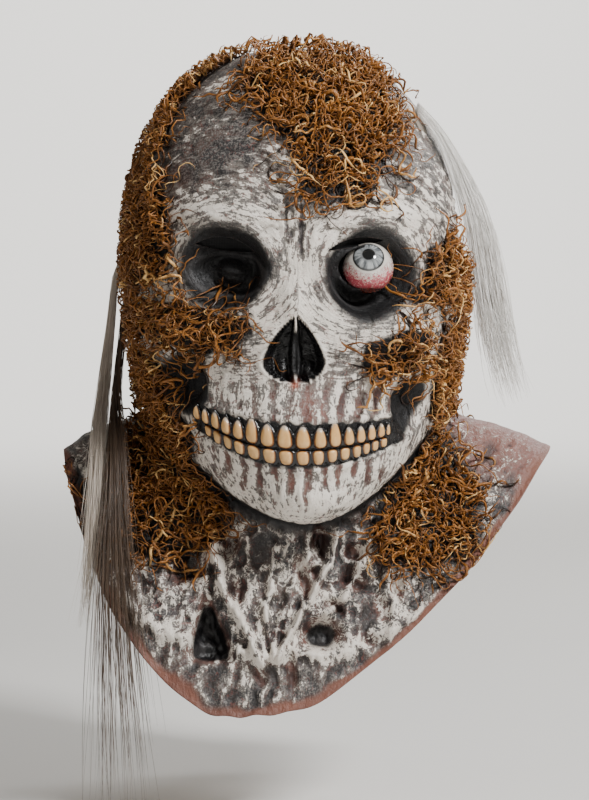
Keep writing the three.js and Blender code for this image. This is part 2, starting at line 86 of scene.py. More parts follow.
# ---- Stage and light ----
# A pale seamless sheet under the mask and far behind it, a soft key light from the upper right, a
# weaker fill from the left, a rim light from behind and a wash over the backdrop.
def linear(hex_colour):
    """Linear red, green, blue and 1 of an sRGB hex colour, by the sRGB curve."""
    channels = np.array([int(hex_colour[i : i + 2], 16) for i in (1, 3, 5)]) / 255
    bent = np.where(channels <= 0.04045, channels / 12.92, ((channels + 0.055) / 1.055) ** 2.4)
    return (*bent.tolist(), 1.0)


# the sockets that a mix of colours and a noise take, in order, and the settings that every such node has
SOCKETS = {"Mix": (0, 6, 7), "TexNoise": ("Vector", "Scale", "Detail", "Roughness", "Distortion")}
USUAL = {"Mix": {"data_type": "RGBA"}, "MapRange": {"interpolation_type": "SMOOTHSTEP"}}


def add(tree, kind, *inputs, out=None, **settings):
    """Adds a shader node of that kind with its settings and links, and returns its output. inputs are
    values, or outputs that feed it, for its sockets in order, or one dictionary of them by name."""
    node = tree.nodes.new("ShaderNode" + kind)
    for name, value in {**USUAL.get(kind, {}), **settings}.items():
        setattr(node, name, value)
    named = inputs and isinstance(inputs[0], dict)
    for socket, value in inputs[0].items() if named else zip(SOCKETS.get(kind, range(9)), inputs):
        if isinstance(value, bpy.types.NodeSocket):
            tree.links.new(value, node.inputs[socket])
        else:
            node.inputs[socket].default_value = value
    if kind == "OutputMaterial":
        return None
    return node.outputs[(2 if kind == "Mix" else 0) if out is None else out]


def new_material(name):
    """A material with an empty node tree, and the tree."""
    material = bpy.data.materials.new(name)
    material.use_nodes = True
    material.node_tree.nodes.clear()
    return material, material.node_tree


def new_piece(name, points, faces, material):
    """A smooth-shaded mesh object at the origin from points in mm and faces of point indices."""
    mesh = bpy.data.meshes.new(name)
    mesh.from_pydata(np.asarray(points) / 1000, [], faces)
    mesh.polygons.foreach_set("use_smooth", np.ones(len(mesh.polygons), bool))
    mesh.materials.append(material)
    piece = bpy.data.objects.new(name, mesh)
    bpy.context.scene.collection.objects.link(piece)
    return piece


def sheet_faces(rows, columns, closed=True):
    """Quads of a grid of rows by columns numbered row by row; closed joins the last column to the first."""
    across = columns if closed else columns - 1
    r, c = np.meshgrid(np.arange(rows - 1), np.arange(across), indexing="ij")
    a = r * columns + c
    b = r * columns + (c + 1) % columns
    return np.stack([a, b, b + columns, a + columns], -1).reshape(-1, 4)


# Matt warm-white paper, which takes a soft shadow and shows no grain.
paper, tree = new_material("studio_paper")
shade = add(tree, "BsdfPrincipled", {"Base Color": linear("#d9d7d3"), "Roughness": 0.95})
add(tree, "OutputMaterial", {"Surface": shade})
FLOOR = cad_low.z * 1000 - 3  # mm, just under the ends of the hair
BACKDROP = 6000  # mm from the mask, so that a camera may go round it
COVE = 2000  # radius of the bend from floor to backdrop
SWEEP_ROWS = 60
sweep = np.linspace(0, 1, SWEEP_ROWS)
turn = np.clip((sweep - 0.5) / 0.2, 0, 1) * math.pi / 2
level = -BACKDROP + 2 * sweep * (2 * BACKDROP - COVE)
run = np.where(sweep < 0.5, level, BACKDROP - COVE + COVE * np.sin(turn))
climb = COVE * (1 - np.cos(turn)) + np.clip((sweep - 0.7) / 0.3, 0, 1) * 2500
side = np.array([-BACKDROP, BACKDROP])
paper_points = np.stack(np.broadcast_arrays(side[None, :], run[:, None], FLOOR + climb[:, None]), -1)
sweep_faces = sheet_faces(SWEEP_ROWS, 2, False).tolist()
new_piece("studio_sweep", paper_points.reshape(-1, 3), sweep_faces, paper)

LIGHTS = {  # name: place and target in metres, size in metres, watts
    "key": ((1.25, -1.35, 1.35), aim, 0.5, 80),
    "fill": ((-1.5, -1.7, 0.4), aim, 1.2, 5),
    "rim": ((0.9, 1.1, 1.0), aim, 0.8, 26),
    "wash": ((0, 3.4, 2.6), (0, 6, 0.4), 2.5, 260),
}
for name, (place, target, size, power) in LIGHTS.items():
    lamp = bpy.data.lights.new(name, "AREA")
    lamp.size = size
    lamp.energy = power
    lit = bpy.data.objects.new(name, lamp)
    lit.location = place
    lit.rotation_euler = (Vector(target) - Vector(place)).to_track_quat("-Z", "Y").to_euler()
    bpy.context.scene.collection.objects.link(lit)
world = bpy.data.worlds.new("studio")
world.use_nodes = True
world.node_tree.nodes["Background"].inputs[0].default_value = linear("#d2cdc6")
world.node_tree.nodes["Background"].inputs[1].default_value = 0.27
bpy.context.scene.world = world

# ---- Latex skin ----
# One slip-cast skin of natural latex, three millimetres thick: crown, skull face, neck and a bib that
# lies on the chest and shoulders. It is cast in a plaster mould, trimmed along the hem, then painted.
SKIN_WALL = 3.0
SECTIONS = np.array([
    # half width, its height, front reach, its height, back reach, its height, square, side lean, front lean
    (0.01, 138, 0.01, 138, 0.01, 138, 2.0, 0, 0),  # crown
    (30, 134, 34, 133, 36, 134, 2.0, 0, 0),
    (55, 121, 60, 119, 64, 120, 2.0, 0, 0),
    (76, 100, 82, 96, 88, 97, 2.1, 0, 0),
    (92, 70, 98, 69, 106, 64, 2.2, 0, 0),
    (100, 38, 107, 41, 116, 25, 2.3, 0, 0),  # forehead
    (102, 10, 112, 14, 118, -5, 2.35, 0, 0),  # brow
    (102, -16, 111, -10, 112, -30, 2.3, 0, 0),  # eyes
    (100, -38, 113, -38, 103, -52, 2.2, 0, 1),  # cheekbones
    (97, -56, 112, -68, 94, -74, 2.05, 0, 2),  # upper jaw
    (95, -70, 116, -102, 87, -94, 1.95, 0, 3),  # teeth
    (94, -79, 113, -134, 83, -110, 1.85, 0, 5),  # chin
    (94, -84, 99, -152, 82, -121, 1.85, 0, 6),
    (96, -89, 78, -157, 83, -132, 1.9, 0, 3),  # throat
    (104, -94, 74, -183, 87, -146, 2.0, 2, -6),  # neck
    (122, -99, 81, -215, 91, -166, 2.0, 4, -15),
    (140, -106, 88, -246, 96, -185, 2.0, 6, -22),  # chest
    (154, -114, 92, -273, 99, -203, 2.0, 7, -29),  # hem
])
HEM = len(SECTIONS) - 1


def step(low, high, x):
    """Smooth step from 0 at low to 1 at high."""
    t = np.clip((x - low) / (high - low), 0, 1)
    return t * t * (3 - 2 * t)


def sections_at(row):
    """The sections at fractional rows, by a Catmull-Rom spline through them."""
    i = np.minimum(np.floor(row).astype(int), HEM - 1)
    s = (row - i)[..., None]
    p0, p1, p2, p3 = (SECTIONS[np.clip(i + k, 0, HEM)] for k in (-1, 0, 1, 2))
    bend = 2 * p0 - 5 * p1 + 4 * p2 - p3
    twist = 3 * p1 - p0 - 3 * p2 + p3
    return 0.5 * (2 * p1 + (p2 - p0) * s + bend * s**2 + twist * s**3)


def plain_point(angle, row):
    """The skin without its features: a superellipse round the head whose front and back sag from the
    height of its sides. Angle 0 is the face, a quarter turn the left ear. Heights are from the eyes."""
    half, half_z, front, front_z, back, back_z, n, lean_side, lean_front = np.moveaxis(
        sections_at(row), -1, 0,
    )
    sine, cosine = np.sin(angle), np.cos(angle)
    ahead = cosine > 0
    reach = np.maximum(np.where(ahead, front, back), 0.01)
    half = np.maximum(half, 0.01)
    r = (np.abs(sine / half) ** n + np.abs(cosine / reach) ** n) ** (-1 / n)
    share = (r * cosine / reach) ** 2
    z = half_z + (np.where(ahead, front_z, back_z) - half_z) * share
    lean = lean_side + np.where(ahead, (lean_front - lean_side) * share, 0)
    return np.stack([r * sine + lean, -r * cosine, z], -1)


def plain_normal(angle, row):
    """Outward unit normal of the plain skin, from differences along both directions."""
    d = 0.02
    across = plain_point(angle + d, row) - plain_point(angle - d, row)
    down = plain_point(angle, np.minimum(row + d, HEM)) - plain_point(angle, np.maximum(row - d, 0.05))
    n = np.cross(down, across)
    return n / np.linalg.norm(n, axis=-1, keepdims=True)


def lattice_noise(p, size, seed):
    """Smooth random field from -1 to 1: each corner of a cubic lattice of that cell size has a hashed
    value, and a point mixes the eight round it by smoothed distance."""
    q = p / size
    cell = np.floor(q).astype(np.int64)
    f = q - cell
    f = f * f * (3 - 2 * f)
    total = np.zeros(q.shape[:-1])
    for corner in itertools.product((0, 1), repeat=3):
        c = cell + np.array(corner)
        h = c[..., 0] * 73856093 ^ c[..., 1] * 19349663 ^ c[..., 2] * 83492791 ^ seed * 265443576
        h = ((h ^ (h >> 13)) * 1274126177) & 0xFFFFFFFF
        h = (h ^ (h >> 16)) & 0xFFFF
        weight = np.prod(np.where(np.array(corner) == 1, f, 1 - f), axis=-1)
        total += weight * (h / 32767.5 - 1)
    return total


def oval(x, z, cx, cz, rx, rz, tilt=0.0):
    """Distance from an oval's centre as a share of its radii, the oval turned anticlockwise by tilt."""
    a = math.radians(tilt)
    u = (x - cx) * math.cos(a) + (z - cz) * math.sin(a)
    v = (z - cz) * math.cos(a) - (x - cx) * math.sin(a)
    return np.hypot(u / rx, v / rz)


FEATURES = {  # centre x and z, radii, lift, level share: the same bosses and hollows as the cast
    "right_socket": (-43, 1, 28, 26, -20, 0.45),
    "left_socket": (45, -3, 29, 29, -21, 0.5),
    "nose_bone": (-1, -18, 13, 20, 4, 0.1),
    "right_cheekbone": (-66, -36, 26, 14, 6, 0.1),
    "left_cheekbone": (66, -40, 26, 14, 6, 0.1),
    "right_brow": (-44, 32, 34, 11, 5, 0.1),
    "left_brow": (46, 31, 34, 11, 5, 0.1),
    "right_cheek_hollow": (-67, -68, 14, 20, -9, 0.3),
    "left_cheek_hollow": (68, -82, 12, 22, -9, 0.3),
    "muzzle": (0, -100, 56, 32, 5, 0.2),
    "chin_boss": (6, -140, 34, 16, 4, 0.2),
}


def nostril(x, z, edge, width, way):
    """Distance from a teardrop's middle line as a share of its half width. It stands on its round end,
    its inner side is straight along x = edge, and it opens the way given, -1 or 1."""
    t = (z + 67.5) / 39
    half = width * np.sqrt(np.clip(1 - np.clip((0.3 - t) / 0.3, 0, 1) ** 2, 0, 1))
    half = half * np.clip(1 - np.clip((t - 0.3) / 0.7, 0, 1) ** 1.5, 0, 1) ** 0.8 + 0.01
    inside = (t > 0) & (t < 1)
    return np.where(inside, np.abs(x - (edge + way * half)) / half, 9.0)


def bite(x):
    """Height of the line where the two rows of teeth meet: a parabola, steeper on the right."""
    d = x - 3
    return -107.4 + np.where(d < 0, 0.0042, 0.0025) * d * d


def septum(x, z):
    """Where the thin wall between the nose's openings is sunk."""
    return np.exp(-(((x + 0.35) / 2.2) ** 2)) * step(-66, -60, z) * step(-33, -42, z)


def face_relief(p):
    """Lift of the skin in mm by its bosses, hollows and the nose's openings, at plain points p. Returns the
    broad lift and, for each opening, the distance from its middle line as a share of its half width."""
    x, z = p[..., 0], p[..., 2]
    broad = np.zeros_like(x)
    for cx, cz, rx, rz, lift, flat in FEATURES.values():
        broad += lift * (1 - step(flat, 1, oval(x, z, cx, cz, rx, rz)))
    noses = [nostril(x, z, -1.1, 9.6, -1), nostril(x, z, 0.4, 8.4, 1)]
    for d in noses:
        broad += -12 * (1 - step(0.5, 1.0, d)) + 0.9 * np.exp(-(((d - 1.15) / 0.16) ** 2))
    broad -= 9 * septum(x, z)
    for cx in (-9.5, 8):
        broad += 5.5 * np.exp(-(oval(x, z, cx, -61, 4.2, 4.6) ** 2))  # bony knobs inside each opening
    return broad, noses


MOSS = {  # outlines of the tufts of moss, as angle in degrees and row; the skin under them is painted dark, as shade
    "crown_moss": [
        [-34, 1.9], [-30, 1], [20, 0.8], [60, 1.1], [62, 1.9], [54, 2.9], [40, 3.8],
        [30, 4.6], [20, 5.2], [8, 5.4], [0, 5.1], [-1, 4.2], [-10, 3.4], [-24, 2.7],
    ],
    "right_crown_moss": [
        [-66, 1.1], [-110, 1.2], [-120, 2], [-118, 3], [-110, 4.1], [-80, 4.1],
        [-52, 4], [-68, 3.3], [-71, 2.8], [-70, 2.1],
    ],
    "right_temple_moss": [
        [-104, 4.5], [-80, 4.4], [-53, 4.4], [-47, 4.9], [-40, 5.6], [-40, 6.3],
        [-41, 6.8], [-50, 6.9], [-75, 6.9], [-102, 6.9], [-108, 5.6],
    ],
    "right_cheek_moss": [
        [-98, 7.2], [-64, 7.2], [-40, 7.2], [-29, 7.5], [-20, 7.6], [-13, 7.6],
        [-11, 8], [-17, 8.4], [-29, 8.6], [-47, 8.4], [-72, 8.2], [-98, 8.3],
    ],
    "right_jaw_moss": [
        [-98, 8.7], [-74, 8.7], [-50, 8.9], [-49, 9.6], [-43, 10.3], [-37, 10.8],
        [-42, 12], [-60, 12.5], [-80, 12.5], [-98, 12.3],
    ],
    "right_neck_moss": [
        [-76, 13.1], [-56, 13], [-34, 12.9], [-26, 13.1], [-28, 13.6], [-33, 14.2],
        [-38, 14.5], [-45, 15], [-53, 15.7], [-62, 16], [-71, 15.7], [-80, 14.8],
    ],
    "right_shoulder_moss": [
        [-78, 16.85], [-79, 16.4], [-72, 16.15], [-65, 16.3], [-62, 16.6], [-63, 16.85],
    ],
    "left_temple_moss": [
        [44, 5.9], [50, 5.75], [62, 5.9], [80, 6.3], [94, 6.9], [92, 7.3], [60, 7.4],
        [40, 7.4], [35, 7.3], [42, 6.7],
    ],
    "left_cheek_moss": [
        [19, 8.2], [33, 7.9], [46, 7.9], [49, 8.4], [48, 9], [38, 9.1], [26, 9.1], [19, 8.7],
    ],
    "left_jaw_moss": [
        [56, 8], [94, 8], [98, 8.8], [98, 11], [94, 12.3], [76, 12.4], [58, 11.7],
        [53, 10.2], [55, 8.9],
    ],
    "left_chest_moss": [
        [38, 12.9], [58, 12.9], [76, 13.4], [72, 14.9], [68, 16.3], [64, 16.8], [59, 16.6],
        [50, 15.6], [43, 15.2], [38, 14.2], [34, 13.3],
    ],
    "rear_crown_moss": [[128, 3], [160, 2.2], [200, 2.6], [214, 4], [196, 5.3], [150, 5.1]],
    "nape_moss": [[142, 7.1], [180, 6.8], [216, 7.4], [206, 9.4], [176, 10], [148, 9]],
}
THIN_TUFTS = ("right_shoulder_moss",)


def within(u, v, corners):
    """Whether points lie inside a polygon, by counting the edges that a level ray from each crosses."""
    inside = np.zeros(np.shape(u), bool)
    for (u1, v1), (u2, v2) in zip(corners, np.roll(corners, -1, axis=0)):
        if v1 != v2:
            crossing = ((v1 > v) != (v2 > v)) & (u < (u2 - u1) * (v - v1) / (v2 - v1) + u1)
            inside ^= crossing
    return inside


def shade_under_moss(angle, row):
    """How far under the moss the skin is, which sets the shade painted there: the share of five shrunk
    copies of each outline around it.
    """
    degrees = np.degrees(angle)
    total = np.zeros_like(row)
    for corners in MOSS.values():
        corners = np.array(corners, float)
        middle = corners.mean(0)
        turned = np.where(degrees < middle[0] - 180, degrees + 360, degrees)
        shrunk = [within(turned, row, middle + (corners - middle) * k) for k in (1, 0.96, 0.92, 0.87, 0.8)]
        total = np.maximum(total, np.mean(shrunk, axis=0))
    return total


def skin_zones(p, angle, row):
    """All of the skin's lift, broad and fine, and its paint zones, each from 0 to 1."""
    x, z = p[..., 0], p[..., 2]
    facing = step(0, 0.3, np.cos(angle))
    wobble = lattice_noise(p, 14, 1)
    ripple = lattice_noise(p, 7, 8)
    grain = 0.5 * lattice_noise(p, 5, 2) + 0.35 * lattice_noise(p, 2.6, 3)
    broad, noses = face_relief(p)

    # closed lids in the right socket: an almond that droops to the nose, with slack folds round it
    lid = oval(x, z, -44.5, -3, 15, 7.5, -8)
    seam = z + 5 + 0.14 * (x + 43) - 0.016 * (x + 43) ** 2
    almond = 8.5 * (1 - step(0.2, 1.2, lid)) - 2.4 * np.exp(-((seam / 0.9) ** 2)) * step(1.1, 0.9, lid)
    slack = oval(x, z, -44, -3.5, 16, 8.5, -8)
    rings = np.cos(slack * 8.5 + wobble * 1.5) * np.exp(-(((slack - 1.6) / 0.55) ** 2))
    broad += facing * almond
    folds = 1.9 * rings * (oval(x, z, -43, 1, 27, 25) < 1) * (1 - step(7, 12, z))
    corner = np.abs(z + 6 + 0.55 * (x + 30)) + 0.6 * wobble
    folds = folds - 1.4 * np.exp(-((corner / 1.1) ** 2)) * step(-32, -29, x) * step(-16, -20, x)

    # lids round the left eyeball: a heavy rim above, slack bags below
    ball = np.hypot(x - 43.5, z - 1)
    around = np.hypot((x - 43.5) / 14.2, (z - 1) / 11.2)
    steep = np.where(around < 1.13, 0.1, 0.26)
    upper_or_lower = 0.45 + 0.55 * np.abs(z - 1) / (ball + 0.01)
    rim_lid = 15 * np.exp(-(((around - 1.13) / steep) ** 2)) * upper_or_lower
    bags = np.cos((np.hypot(x - 43.5, (z - 1) * 1.06) - 18) * 1.0 + wobble * 0.9)
    bags = bags * np.exp(-(((ball - 24) / 6) ** 2)) * (step(2, -8, z) + 0.5 * step(4, 12, z))
    broad += facing * rim_lid
    folds = folds + 1.5 * bags

    # arched wrinkles over each brow, and upright furrows between them
    for cx in (-44, 46):
        arch = oval(x, z, cx, -2, 34, 30)
        wave = np.sin(arch * 31 + wobble * 4.5 + ripple * 1.5) * np.exp(-(((arch - 2) / 0.8) ** 2))
        folds = folds + 1.1 * wave * step(10, 24, z) * step(-10, -2, np.sign(cx) * x)
    furrow = np.exp(-(((np.abs(x + 1 + wobble) - 4.5) / 1.4) ** 2)) * step(-2, 12, z) * step(46, 32, z)
    folds = folds - 1.6 * furrow

    # roots of the teeth: upright ridges above the upper row, leaning out to the sides, and stubs below
    over = z - bite(x)
    lean = (x - 2) * (1 - 0.0045 * np.clip(over, 0, 60)) + 1.6 * wobble + 0.8 * ripple
    roots = np.cos(lean * 2 * math.pi / 9.3)
    above = step(12, 17, over) * step(48, 26, over + 5 * wobble) * step(66, 50, np.abs(x))
    above = above * (0.45 + 0.55 * step(-6, 12, x)) * (0.55 + 0.45 * ripple)
    under = step(-8.5, -12, over) * step(-34, -20, over + 7 * ripple) * step(60, 44, np.abs(x - 2))
    under = under * (0.6 + 0.5 * ripple)
    folds = folds + 1.3 * roots * (above + 0.85 * under)
    shrink = 1 - 0.4 * np.clip((x - 1) / 60, -1, 1) ** 2  # the teeth get smaller to the corners
    row_edge = np.where(over > 0, over / 13.5, -over / 9.5) / shrink
    mouth = step(66, 56, np.abs(x - 2))
    broad -= facing * 1.0 * step(1.25, 0.9, row_edge) * mouth
    broad += facing * 1.3 * np.exp(-(((row_edge - 1.35) / 0.13) ** 2)) * mouth

    # neck and chest: pits, tendons and a web of ridges, then ribs towards the hem
    chest = step(12.6, 13.4, row) * facing
    pits = {
        "left_gorge": (16, -223, 14, 11, 0, 12), "right_throat": (-40, -169, 7, 10, -20, 8),
        "left_throat": (15, -167, 6, 13, 12, 8), "sternal": (5, -189, 5.5, 17, 14, 7),
        "drop": (11, -186, 4, 6, 10, 4), "left_well": (35, -190, 9, 9, 0, 7),
        "left_arch": (38, -174, 11, 5.5, 0, 6), "slant": (24, -206, 7, 4.5, -30, 5),
        "right_low": (-37, -199, 6, 11, -15, 6), "left_low": (52, -207, 7, 10, 10, 5),
        "far_right": (-68, -180, 14, 16, 0, 9), "right_small": (-32, -216, 4.5, 4, 0, 4),
        "left_small": (62, -196, 5, 11, 12, 5), "low_left": (44, -226, 8, 7, -20, 5),
        "low_right": (-22, -248, 5, 9, 10, 4), "breast": (-2, -246, 4, 14, 0, 4),
    }
    hollow = np.zeros_like(x)
    for cx, cz, rx, rz, tilt, depth in pits.values():
        d = oval(x + wobble * 1.6, z + ripple, cx, cz, rx, rz, tilt)
        hollow = np.maximum(hollow, depth * (1 - step(0.35, 1.15, d)))
    fall = (-198 - z) / 42  # the gorge beside the throat: a triangle, from its apex to its base
    side = np.abs(x + 56 - 4 * fall + wobble) / (3 + 15 * np.clip(fall, 0, 1))
    hollow = np.maximum(
        hollow, 17 * step(1.15, 0.25, side) * step(-0.05, 0.4, fall) * step(1.06, 0.84, fall),
    )
    broad -= chest * hollow
    tendons = [
        ((-50, -160), (-48, -190), (-33, -216), (-22, -240), 6.5, 3.4),
        ((26, -150), (19, -182), (2, -212), (-12, -238), 6.0, 2.6),
        ((46, -160), (40, -180), (30, -200), (18, -212), 4.2, 2.8),
        ((-8, -160), (-14, -184), (-18, -210), (-14, -240), 3.2, 2.6),
        ((50, -150), (56, -182), (60, -206), (56, -232), 3.4, 2.8),
        ((8, -156), (6, -176), (-4, -196), (-8, -214), 2.8, 2.2),
    ]
    cord = np.zeros_like(x)
    for *knots, lift, width in tendons:
        line = np.interp(z, [k[1] for k in knots[::-1]], [k[0] for k in knots[::-1]]) + 1.5 * ripple
        reach = step(knots[-1][1] - 8, knots[-1][1] + 4, z) * step(knots[0][1] + 8, knots[0][1] - 4, z)
        cord = np.maximum(cord, reach * 1.4 * lift * np.exp(-(((x - line) / width) ** 2)))
    broad += chest * cord
    bent = p * np.array([1, 1, 0.7]) + wobble[..., None] * (4, 0, 0) + ripple[..., None] * (1.5, 0, 3)
    web = 1 - 2.8 * np.abs(lattice_noise(bent, 6.5, 5)) + 0.5 - 1.6 * np.abs(lattice_noise(bent, 3.4, 9))
    ledge_row = 15.72 + 1.05 * (angle + 0.05) ** 2
    below_ledge = row + 0.12 * wobble - ledge_row
    hem_band = step(0.05, 0.3, below_ledge)
    ledge = np.exp(-((below_ledge / 0.16) ** 2)) * step(1.05, 0.8, np.abs(angle))
    ribs = np.sin(angle * 50 + wobble * 3.6 + ripple * 1.8) * (0.6 + 0.5 * ripple)
    folds = folds + chest * (1.9 * web * (1 - 0.75 * hem_band) + 1.7 * hem_band * ribs)
    broad += chest * (5.0 * ledge + 1.5 * hem_band)

    # back of the head and nape: shallow cracked folds
    behind = 1 - facing
    folds = folds + behind * 0.9 * (1 - 2.2 * np.abs(lattice_noise(p * np.array([1, 1, 1.6]), 11, 6)))

    fine = folds * (0.7 + 0.3 * lattice_noise(p, 9, 7)) + 0.6 * grain
    rim = step(16.6, 16.78, row + 0.16 * wobble + 0.1 * ripple)
    fine = fine * (1 - 0.85 * rim)
    broad += 1.2 * step(16.7, 17, row) + 1.6 * wobble * step(15.5, 17, row)

    # where each finish goes, and where shade is painted: the dark zone is black paint in the sockets, nose,
    # hollows and gums, and painted shade elsewhere
    sockets = np.minimum(oval(x, z, -43, 1, 29, 26.5), oval(x, z, 45, -3, 29.5, 29))
    hollow_right = oval(x, z, -68, -70, 15, 19, 20)
    hollow_left = oval(x, z, 67, -86, 9, 24, -26)
    gums = step(1.22, 1.02, row_edge + 0.06 * roots) * step(66, 62, np.abs(x - 2))
    dark_paint_and_shade = np.maximum.reduce([
        1 - step(0.72, 1.2, sockets + 0.07 * wobble),
        1 - step(0.85, 1.1, noses[0]), 1 - step(0.85, 1.1, noses[1]), 1.2 * septum(x, z),
        1 - step(0.75, 1.2, hollow_right + 0.08 * wobble), 1 - step(0.7, 1.15, hollow_left + 0.08 * wobble),
        gums,
    ]) * facing
    # painted shade: the neck's pits go darker the deeper they are, except on the tendons
    dark_paint_and_shade = np.maximum(dark_paint_and_shade, chest * step(3.5, 13, hollow) * 0.95 * (1 - step(0.5, 2.5, cord)))
    # painted shadow under the jaw, where the chin shades the throat; it also takes off white paint
    under_chin_shadow = np.exp(-(((row - 12.85) / 0.4) ** 2)) * facing
    dark_paint_and_shade = np.maximum(dark_paint_and_shade, 0.85 * under_chin_shadow)
    # painted shade on the skin under the moss
    dark_paint_and_shade = np.maximum(dark_paint_and_shade, 0.85 * step(0.1, 0.9, shade_under_moss(angle, row) + 0.25 * ripple))
    band = np.exp(-((oval(x, z, -58, 62, 34, 10, 38)) ** 2))  # the dark hollow over the right brow
    streak = step(0.15, -0.75, roots) * np.clip(1.5 * above + 1.4 * under, 0, 1)
    patch = np.exp(-((oval(x, z, 8, -84, 7, 15, 0)) ** 2))
    shoulder = (
        step(84, 112, x + 6 * wobble) * step(-146, -116, z + 0.3 * (x - 120) + 7 * ripple)
        * step(12.5, 14, row)
    )
    rust = np.clip(
        streak + patch + 0.95 * shoulder + 0.6 * chest * step(0.5, 4, hollow)
        + 0.18 * step(0.1, 0.8, wobble),
        0,
        1,
    )
    crater = np.exp(-(((sockets - 1.4) / 0.32) ** 2)) * facing
    vault = step(40, 66, z)
    chalk = 0.56 + 0.2 * crater + 0.1 * step(-10, -40, z) * step(12.6, 11.9, row) * facing
    chalk = chalk - 0.42 * streak - 0.35 * patch - 0.2 * vault - 0.55 * band - 0.2 * behind
    chalk = chalk - 0.1 * chest + 0.55 * chest * step(1.5, 4.5, cord) - 0.4 * shoulder - 0.5 * under_chin_shadow
    chalk = chalk + chest * (0.42 * np.tanh(fine / 1.6) + 0.6 * ledge - 0.24 - 0.1 * hem_band)
    chalk = chalk + 0.14 * step(-124, -134, z) * step(12.6, 12, row) * facing
    chalk = chalk - 0.25 * furrow + 0.1 * wobble
    lips = [np.exp(-(((d - 1.16) / 0.13) ** 2)) for d in noses]
    chalk = chalk + 0.4 * np.maximum(*lips) * facing * (1 - septum(x, z))
    upright = np.maximum(step(-52, -80, z), 0.65 * chest) * facing
    upright = np.maximum(upright, step(15, 5, np.abs(x)) * step(-4, 10, z) * step(48, 34, z) * facing)
    zones = {
        "dark_paint_and_shade": dark_paint_and_shade, "rust": rust, "rim": rim, "chalk": np.clip(chalk, 0, 1),
        "high": np.clip(0.5 + 0.5 * np.tanh(fine / 0.9), 0, 1), "upright": upright,
        "gloss": np.maximum.reduce([
            facing * (1 - step(0.85, 1.1, np.minimum(*noses))) * (1 - septum(x, z)), gums * facing,
            0.7 * chest * step(4, 11, hollow),
        ]),
        "blood": np.exp(-((np.hypot(x + 1, z + 68.5) / 2.6) ** 2)) * facing,
        "web": chest * (1 - 0.6 * hem_band) + 0.35 * behind,
    }
    return facing * broad, fine, zones


def stroke_places(p):
    """Two coordinates on the skin in mm, along and across the wrinkles that ring the nearer socket. The
    first is shrunk, so that noise read on them comes out as strokes that follow the rings."""
    x, z = p[..., 0], p[..., 2]
    ringed = np.where(x < 1, -44.0, 46.0)
    across = np.hypot(x - ringed, (z + 2) * 1.1)
    along = np.arctan2(x - ringed, z + 2) * np.clip(across, 12, 80)
    return np.stack([along * 0.3, across, p[..., 1] * 0.4 + ringed], -1)


def skin_points(angle, row, offset, smooth=False, deepest=False):
    """Points on the skin's outer face moved outwards by offset, in mm with heights from the origin.
    smooth leaves out the fine relief, and deepest keeps to the lowest of the broad relief nearby."""
    p = plain_point(angle, row)
    broad, fine, zones = skin_zones(p, angle, row)
    if deepest:
        for da, dr in itertools.product((-0.05, 0, 0.05), (-0.22, 0, 0.22)):
            near_row = np.clip(row + dr, 0, HEM)
            near = skin_zones(plain_point(angle + da, near_row), angle + da, near_row)[0]
            broad = np.minimum(broad, near)
    lift = (broad + (0 if smooth else fine)) * step(0.2, 1.2, row) + offset
    p = p + plain_normal(angle, row) * lift[..., None]
    wave = 1.4 * np.sin(9 * angle + 1) + 0.6 * np.sin(23 * angle + 2 * np.sin(5 * angle))
    p[..., 2] += EYE_LINE + wave * step(16.1, 17, row)
    return p, zones


def skin_rows(bands):
    """Rows down the skin, spaced evenly within each band of (last row, count)."""
    starts = [0, *(to for to, _ in bands)]
    return np.concatenate([np.linspace(a, to, n + 1)[1:] for a, (to, n) in zip(starts, bands)])


SKIN_COLUMNS = 312
around = np.arange(SKIN_COLUMNS) * 2 / SKIN_COLUMNS - 1
around = math.pi * (around - 0.22 * np.sin(math.pi * around))  # crowded towards the face
outer_rows = skin_rows([(5, 40), (13, 146), (HEM, 74)])
inner_rows = skin_rows([(5, 8), (13, 34), (HEM, 10)])
outer, zones = skin_points(*np.meshgrid(around, outer_rows), 0)
inner, inner_zones = skin_points(*np.meshgrid(around, inner_rows), -SKIN_WALL, smooth=True, deepest=True)
rings = np.concatenate([outer, inner[::-1]])
poles = [(0, 0, EYE_LINE + 138), (0, 0, EYE_LINE + 138 - SKIN_WALL)]
skin_faces = sheet_faces(len(rings), SKIN_COLUMNS).tolist()
top = len(rings) * SKIN_COLUMNS
last = top - SKIN_COLUMNS
after = (np.arange(SKIN_COLUMNS) + 1) % SKIN_COLUMNS
skin_faces += [(top, int(j), i) for i, j in enumerate(after)]
skin_faces += [(top + 1, last + i, last + int(j)) for i, j in enumerate(after)]

painted_latex, tree = new_material("painted_latex")
place = add(tree, "TexCoord", out="Object")
zone = {}
for name in (*zones, "inside"):
    zone[name] = add(tree, "Attribute", out="Fac", attribute_name=name)
strokes = add(tree, "Attribute", out="Vector", attribute_name="strokes")

# Dry-brushed white over charcoal and brown: the brush catches what stands high, in strokes that ring
# the sockets, run upright over the jaw and hem, and break up on the neck.
ringed = add(tree, "TexNoise", strokes, 1000 / 2.6, 3, 0.6, 0.5)
upright = add(
    tree,
    "TexNoise",
    add(tree, "VectorMath", place, (1, 1, 0.3), operation="MULTIPLY"),
    1000 / 2.4,
    3,
    0.6,
    0.4,
)
stroke = add(tree, "Mix", zone["upright"], ringed, upright)
broken = add(tree, "TexNoise", place, 1000 / 3.4, 3, 0.6, 0.8)
speck = add(tree, "TexNoise", place, 1000 / 1.2, 2, 0.6, 0.0)
drift = add(tree, "TexNoise", place, 1000 / 17, 3, 0.5, 0.0)
base = add(tree, "Mix", add(tree, "MapRange", drift, 0.44, 0.6), linear("#353333"), linear("#54453f"))
base = add(tree, "Mix", add(tree, "MapRange", speck, 0.45, 0.62), base, linear("#6f6a66"))
